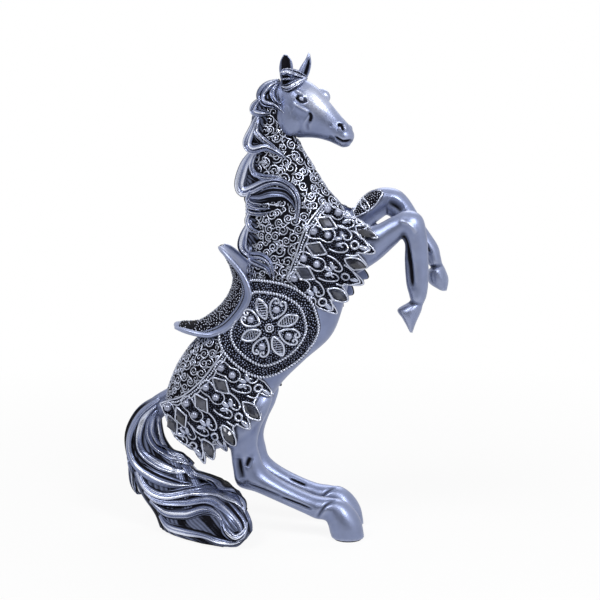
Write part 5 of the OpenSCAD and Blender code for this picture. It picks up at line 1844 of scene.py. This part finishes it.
class STATUE_OT_stage(bpy.types.Operator):
    """Lays the floor, lights the statue and aims the camera"""

    bl_idname = "statue.stage"
    bl_label = "Stage"

    TARGET = Vector((10.8, 9.0, 144.5)) * MM
    DISTANCE = 850.0 * MM
    SENSOR = 36.0
    CLIP = 0.01
    FLOOR_HALF = 3.0
    AZIMUTH = math.radians(8)
    ELEVATION = math.radians(8)
    GLOW = 0.9
    FADE = (0.15, 0.6)
    ROOM = 0.1
    AROUND = 0.1
    LAMPS = (
        ("key", (-0.45, -0.75, 1.0), 0.6, 8.6),
        ("front", (0.5, -0.62, 0.62), 0.3, 5.0),
        ("fill", (0.95, -0.55, 0.4), 0.7, 1.2),
        ("back", (0.1, 0.9, 0.9), 0.7, 4.0),
    )

    def execute(self, context):
        scene = context.scene
        self.floor()
        self.world(scene)
        for name, place, size, power in self.LAMPS:
            lamp = bpy.data.lights.new(name, "AREA")
            lamp.size = size
            lamp.energy = power
            self.aim(stood(name, lamp), Vector(place), 1.0)
        flat = math.cos(self.ELEVATION)
        away = Vector((math.sin(self.AZIMUTH) * flat, -math.cos(self.AZIMUTH) * flat,
                       math.sin(self.ELEVATION)))
        camera = bpy.data.cameras.new("camera")
        camera.lens = sizes().lens
        camera.sensor_width = self.SENSOR
        camera.clip_start = self.CLIP
        scene.camera = stood("camera", camera)
        self.aim(scene.camera, away, self.DISTANCE)
        scene.view_settings.view_transform = "Standard"
        return {"FINISHED"}

    def aim(self, host, away, distance):
        """Stands a lamp or camera away from the statue, facing it."""
        host.location = self.TARGET + away * distance
        host.rotation_euler = (-away).to_track_quat("-Z", "Y").to_euler()

    @staticmethod
    def seen(tree):
        """1 for rays that show the backdrop: straight, mirrored or through glass."""
        path = put(tree, "ShaderNodeLightPath")
        some = put(tree, "ShaderNodeMath", {0: path.outputs["Is Camera Ray"],
                   1: path.outputs["Is Glossy Ray"]}, operation="ADD", use_clamp=True)
        return put(tree, "ShaderNodeMath", {0: some, 1: path.outputs["Is Transmission Ray"]},
                   operation="ADD", use_clamp=True)

    def floor(self):
        half = self.FLOOR_HALF
        corners = [(-half, -half, 0), (half, -half, 0), (half, half, 0), (-half, half, 0)]
        floor = stood("floor", to_mesh(np.array(corners), [(0, 1, 2, 3)]))
        tree, shader, place = new_finish("pale_floor")
        shader.inputs["Base Color"].default_value = bpy.context.scene.statue_colours.floor
        shader.inputs["Roughness"].default_value = 0.9
        glow = put(tree, "ShaderNodeEmission", {"Color": (1, 1, 1, 1), "Strength": 1.0})
        far = put(tree, "ShaderNodeVectorMath", {0: place}, operation="LENGTH").outputs["Value"]
        fade = ranged(tree, far, *self.FADE, self.GLOW, 1.0)
        part = times(tree, self.seen(tree), fade)
        mixed = put(tree, "ShaderNodeMixShader", {0: part, 1: shader, 2: glow})
        tree.links.new(mixed.outputs[0], tree.nodes["Material Output"].inputs["Surface"])
        floor.data.materials.append(FINISHES["pale_floor"])

    def world(self, scene):
        """White backdrop for what is seen and mirrored, with the dim room behind the camera."""
        world = bpy.data.worlds.new("studio")
        world.use_nodes = True
        tree = world.node_tree
        way = put(tree, "ShaderNodeSeparateXYZ",
                  {0: put(tree, "ShaderNodeTexCoord").outputs["Generated"]})
        room = ranged(tree, way.outputs["Y"], -0.85, -0.1, self.ROOM, 1.0)
        straight = put(tree, "ShaderNodeLightPath").outputs["Is Camera Ray"]
        shown = put(tree, "ShaderNodeMix", {"Factor": straight, "A": room, "B": 1.0},
                    data_type="FLOAT")
        level = put(tree, "ShaderNodeMix", {"Factor": self.seen(tree), "A": self.AROUND, "B": shown},
                    data_type="FLOAT")
        tree.links.new(next(o for o in level.outputs if o.enabled),
                       tree.nodes["Background"].inputs["Strength"])
        tree.nodes["Background"].inputs["Color"].default_value = (1, 1, 1, 1)
        scene.world = world


class STATUE_PT_panel(bpy.types.Panel):
    """Lists the sizes, the colours and the steps of the statue"""

    bl_label = "Statue"
    bl_idname = "STATUE_PT_panel"
    bl_space_type = "VIEW_3D"
    bl_region_type = "UI"
    bl_category = "Statue"

    def draw(self, context):
        for group in (context.scene.statue_sizes, context.scene.statue_colours):
            box = self.layout.box()
            for name in group.bl_rna.properties.keys():
                if name not in ("rna_type", "name"):
                    box.prop(group, name)
        for step in STEPS:
            self.layout.operator(step.bl_idname)


STEPS = (STATUE_OT_trunk, STATUE_OT_head, STATUE_OT_legs, STATUE_OT_mane, STATUE_OT_tail,
         STATUE_OT_seat, STATUE_OT_flaps, STATUE_OT_drapes, STATUE_OT_stones, STATUE_OT_pins,
         STATUE_OT_stage)
CLASSES = (StatueSizes, StatueColours, *STEPS, STATUE_PT_panel)


def register():
    for cls in CLASSES:
        bpy.utils.register_class(cls)
    bpy.types.Scene.statue_sizes = PointerProperty(type=StatueSizes)
    bpy.types.Scene.statue_colours = PointerProperty(type=StatueColours)


def unregister():
    del bpy.types.Scene.statue_colours
    del bpy.types.Scene.statue_sizes
    for cls in reversed(CLASSES):
        bpy.utils.unregister_class(cls)


def main():
    register()
    mix_finishes()
    bpy.ops.statue.trunk()
    bpy.ops.statue.head()
    bpy.ops.statue.legs()
    bpy.ops.statue.mane()
    bpy.ops.statue.tail()
    bpy.ops.statue.seat()
    bpy.ops.statue.flaps()
    bpy.ops.statue.drapes()
    bpy.ops.statue.stones()
    bpy.ops.statue.pins()
    bpy.ops.statue.stage()


if __name__ == "__main__":
    main()
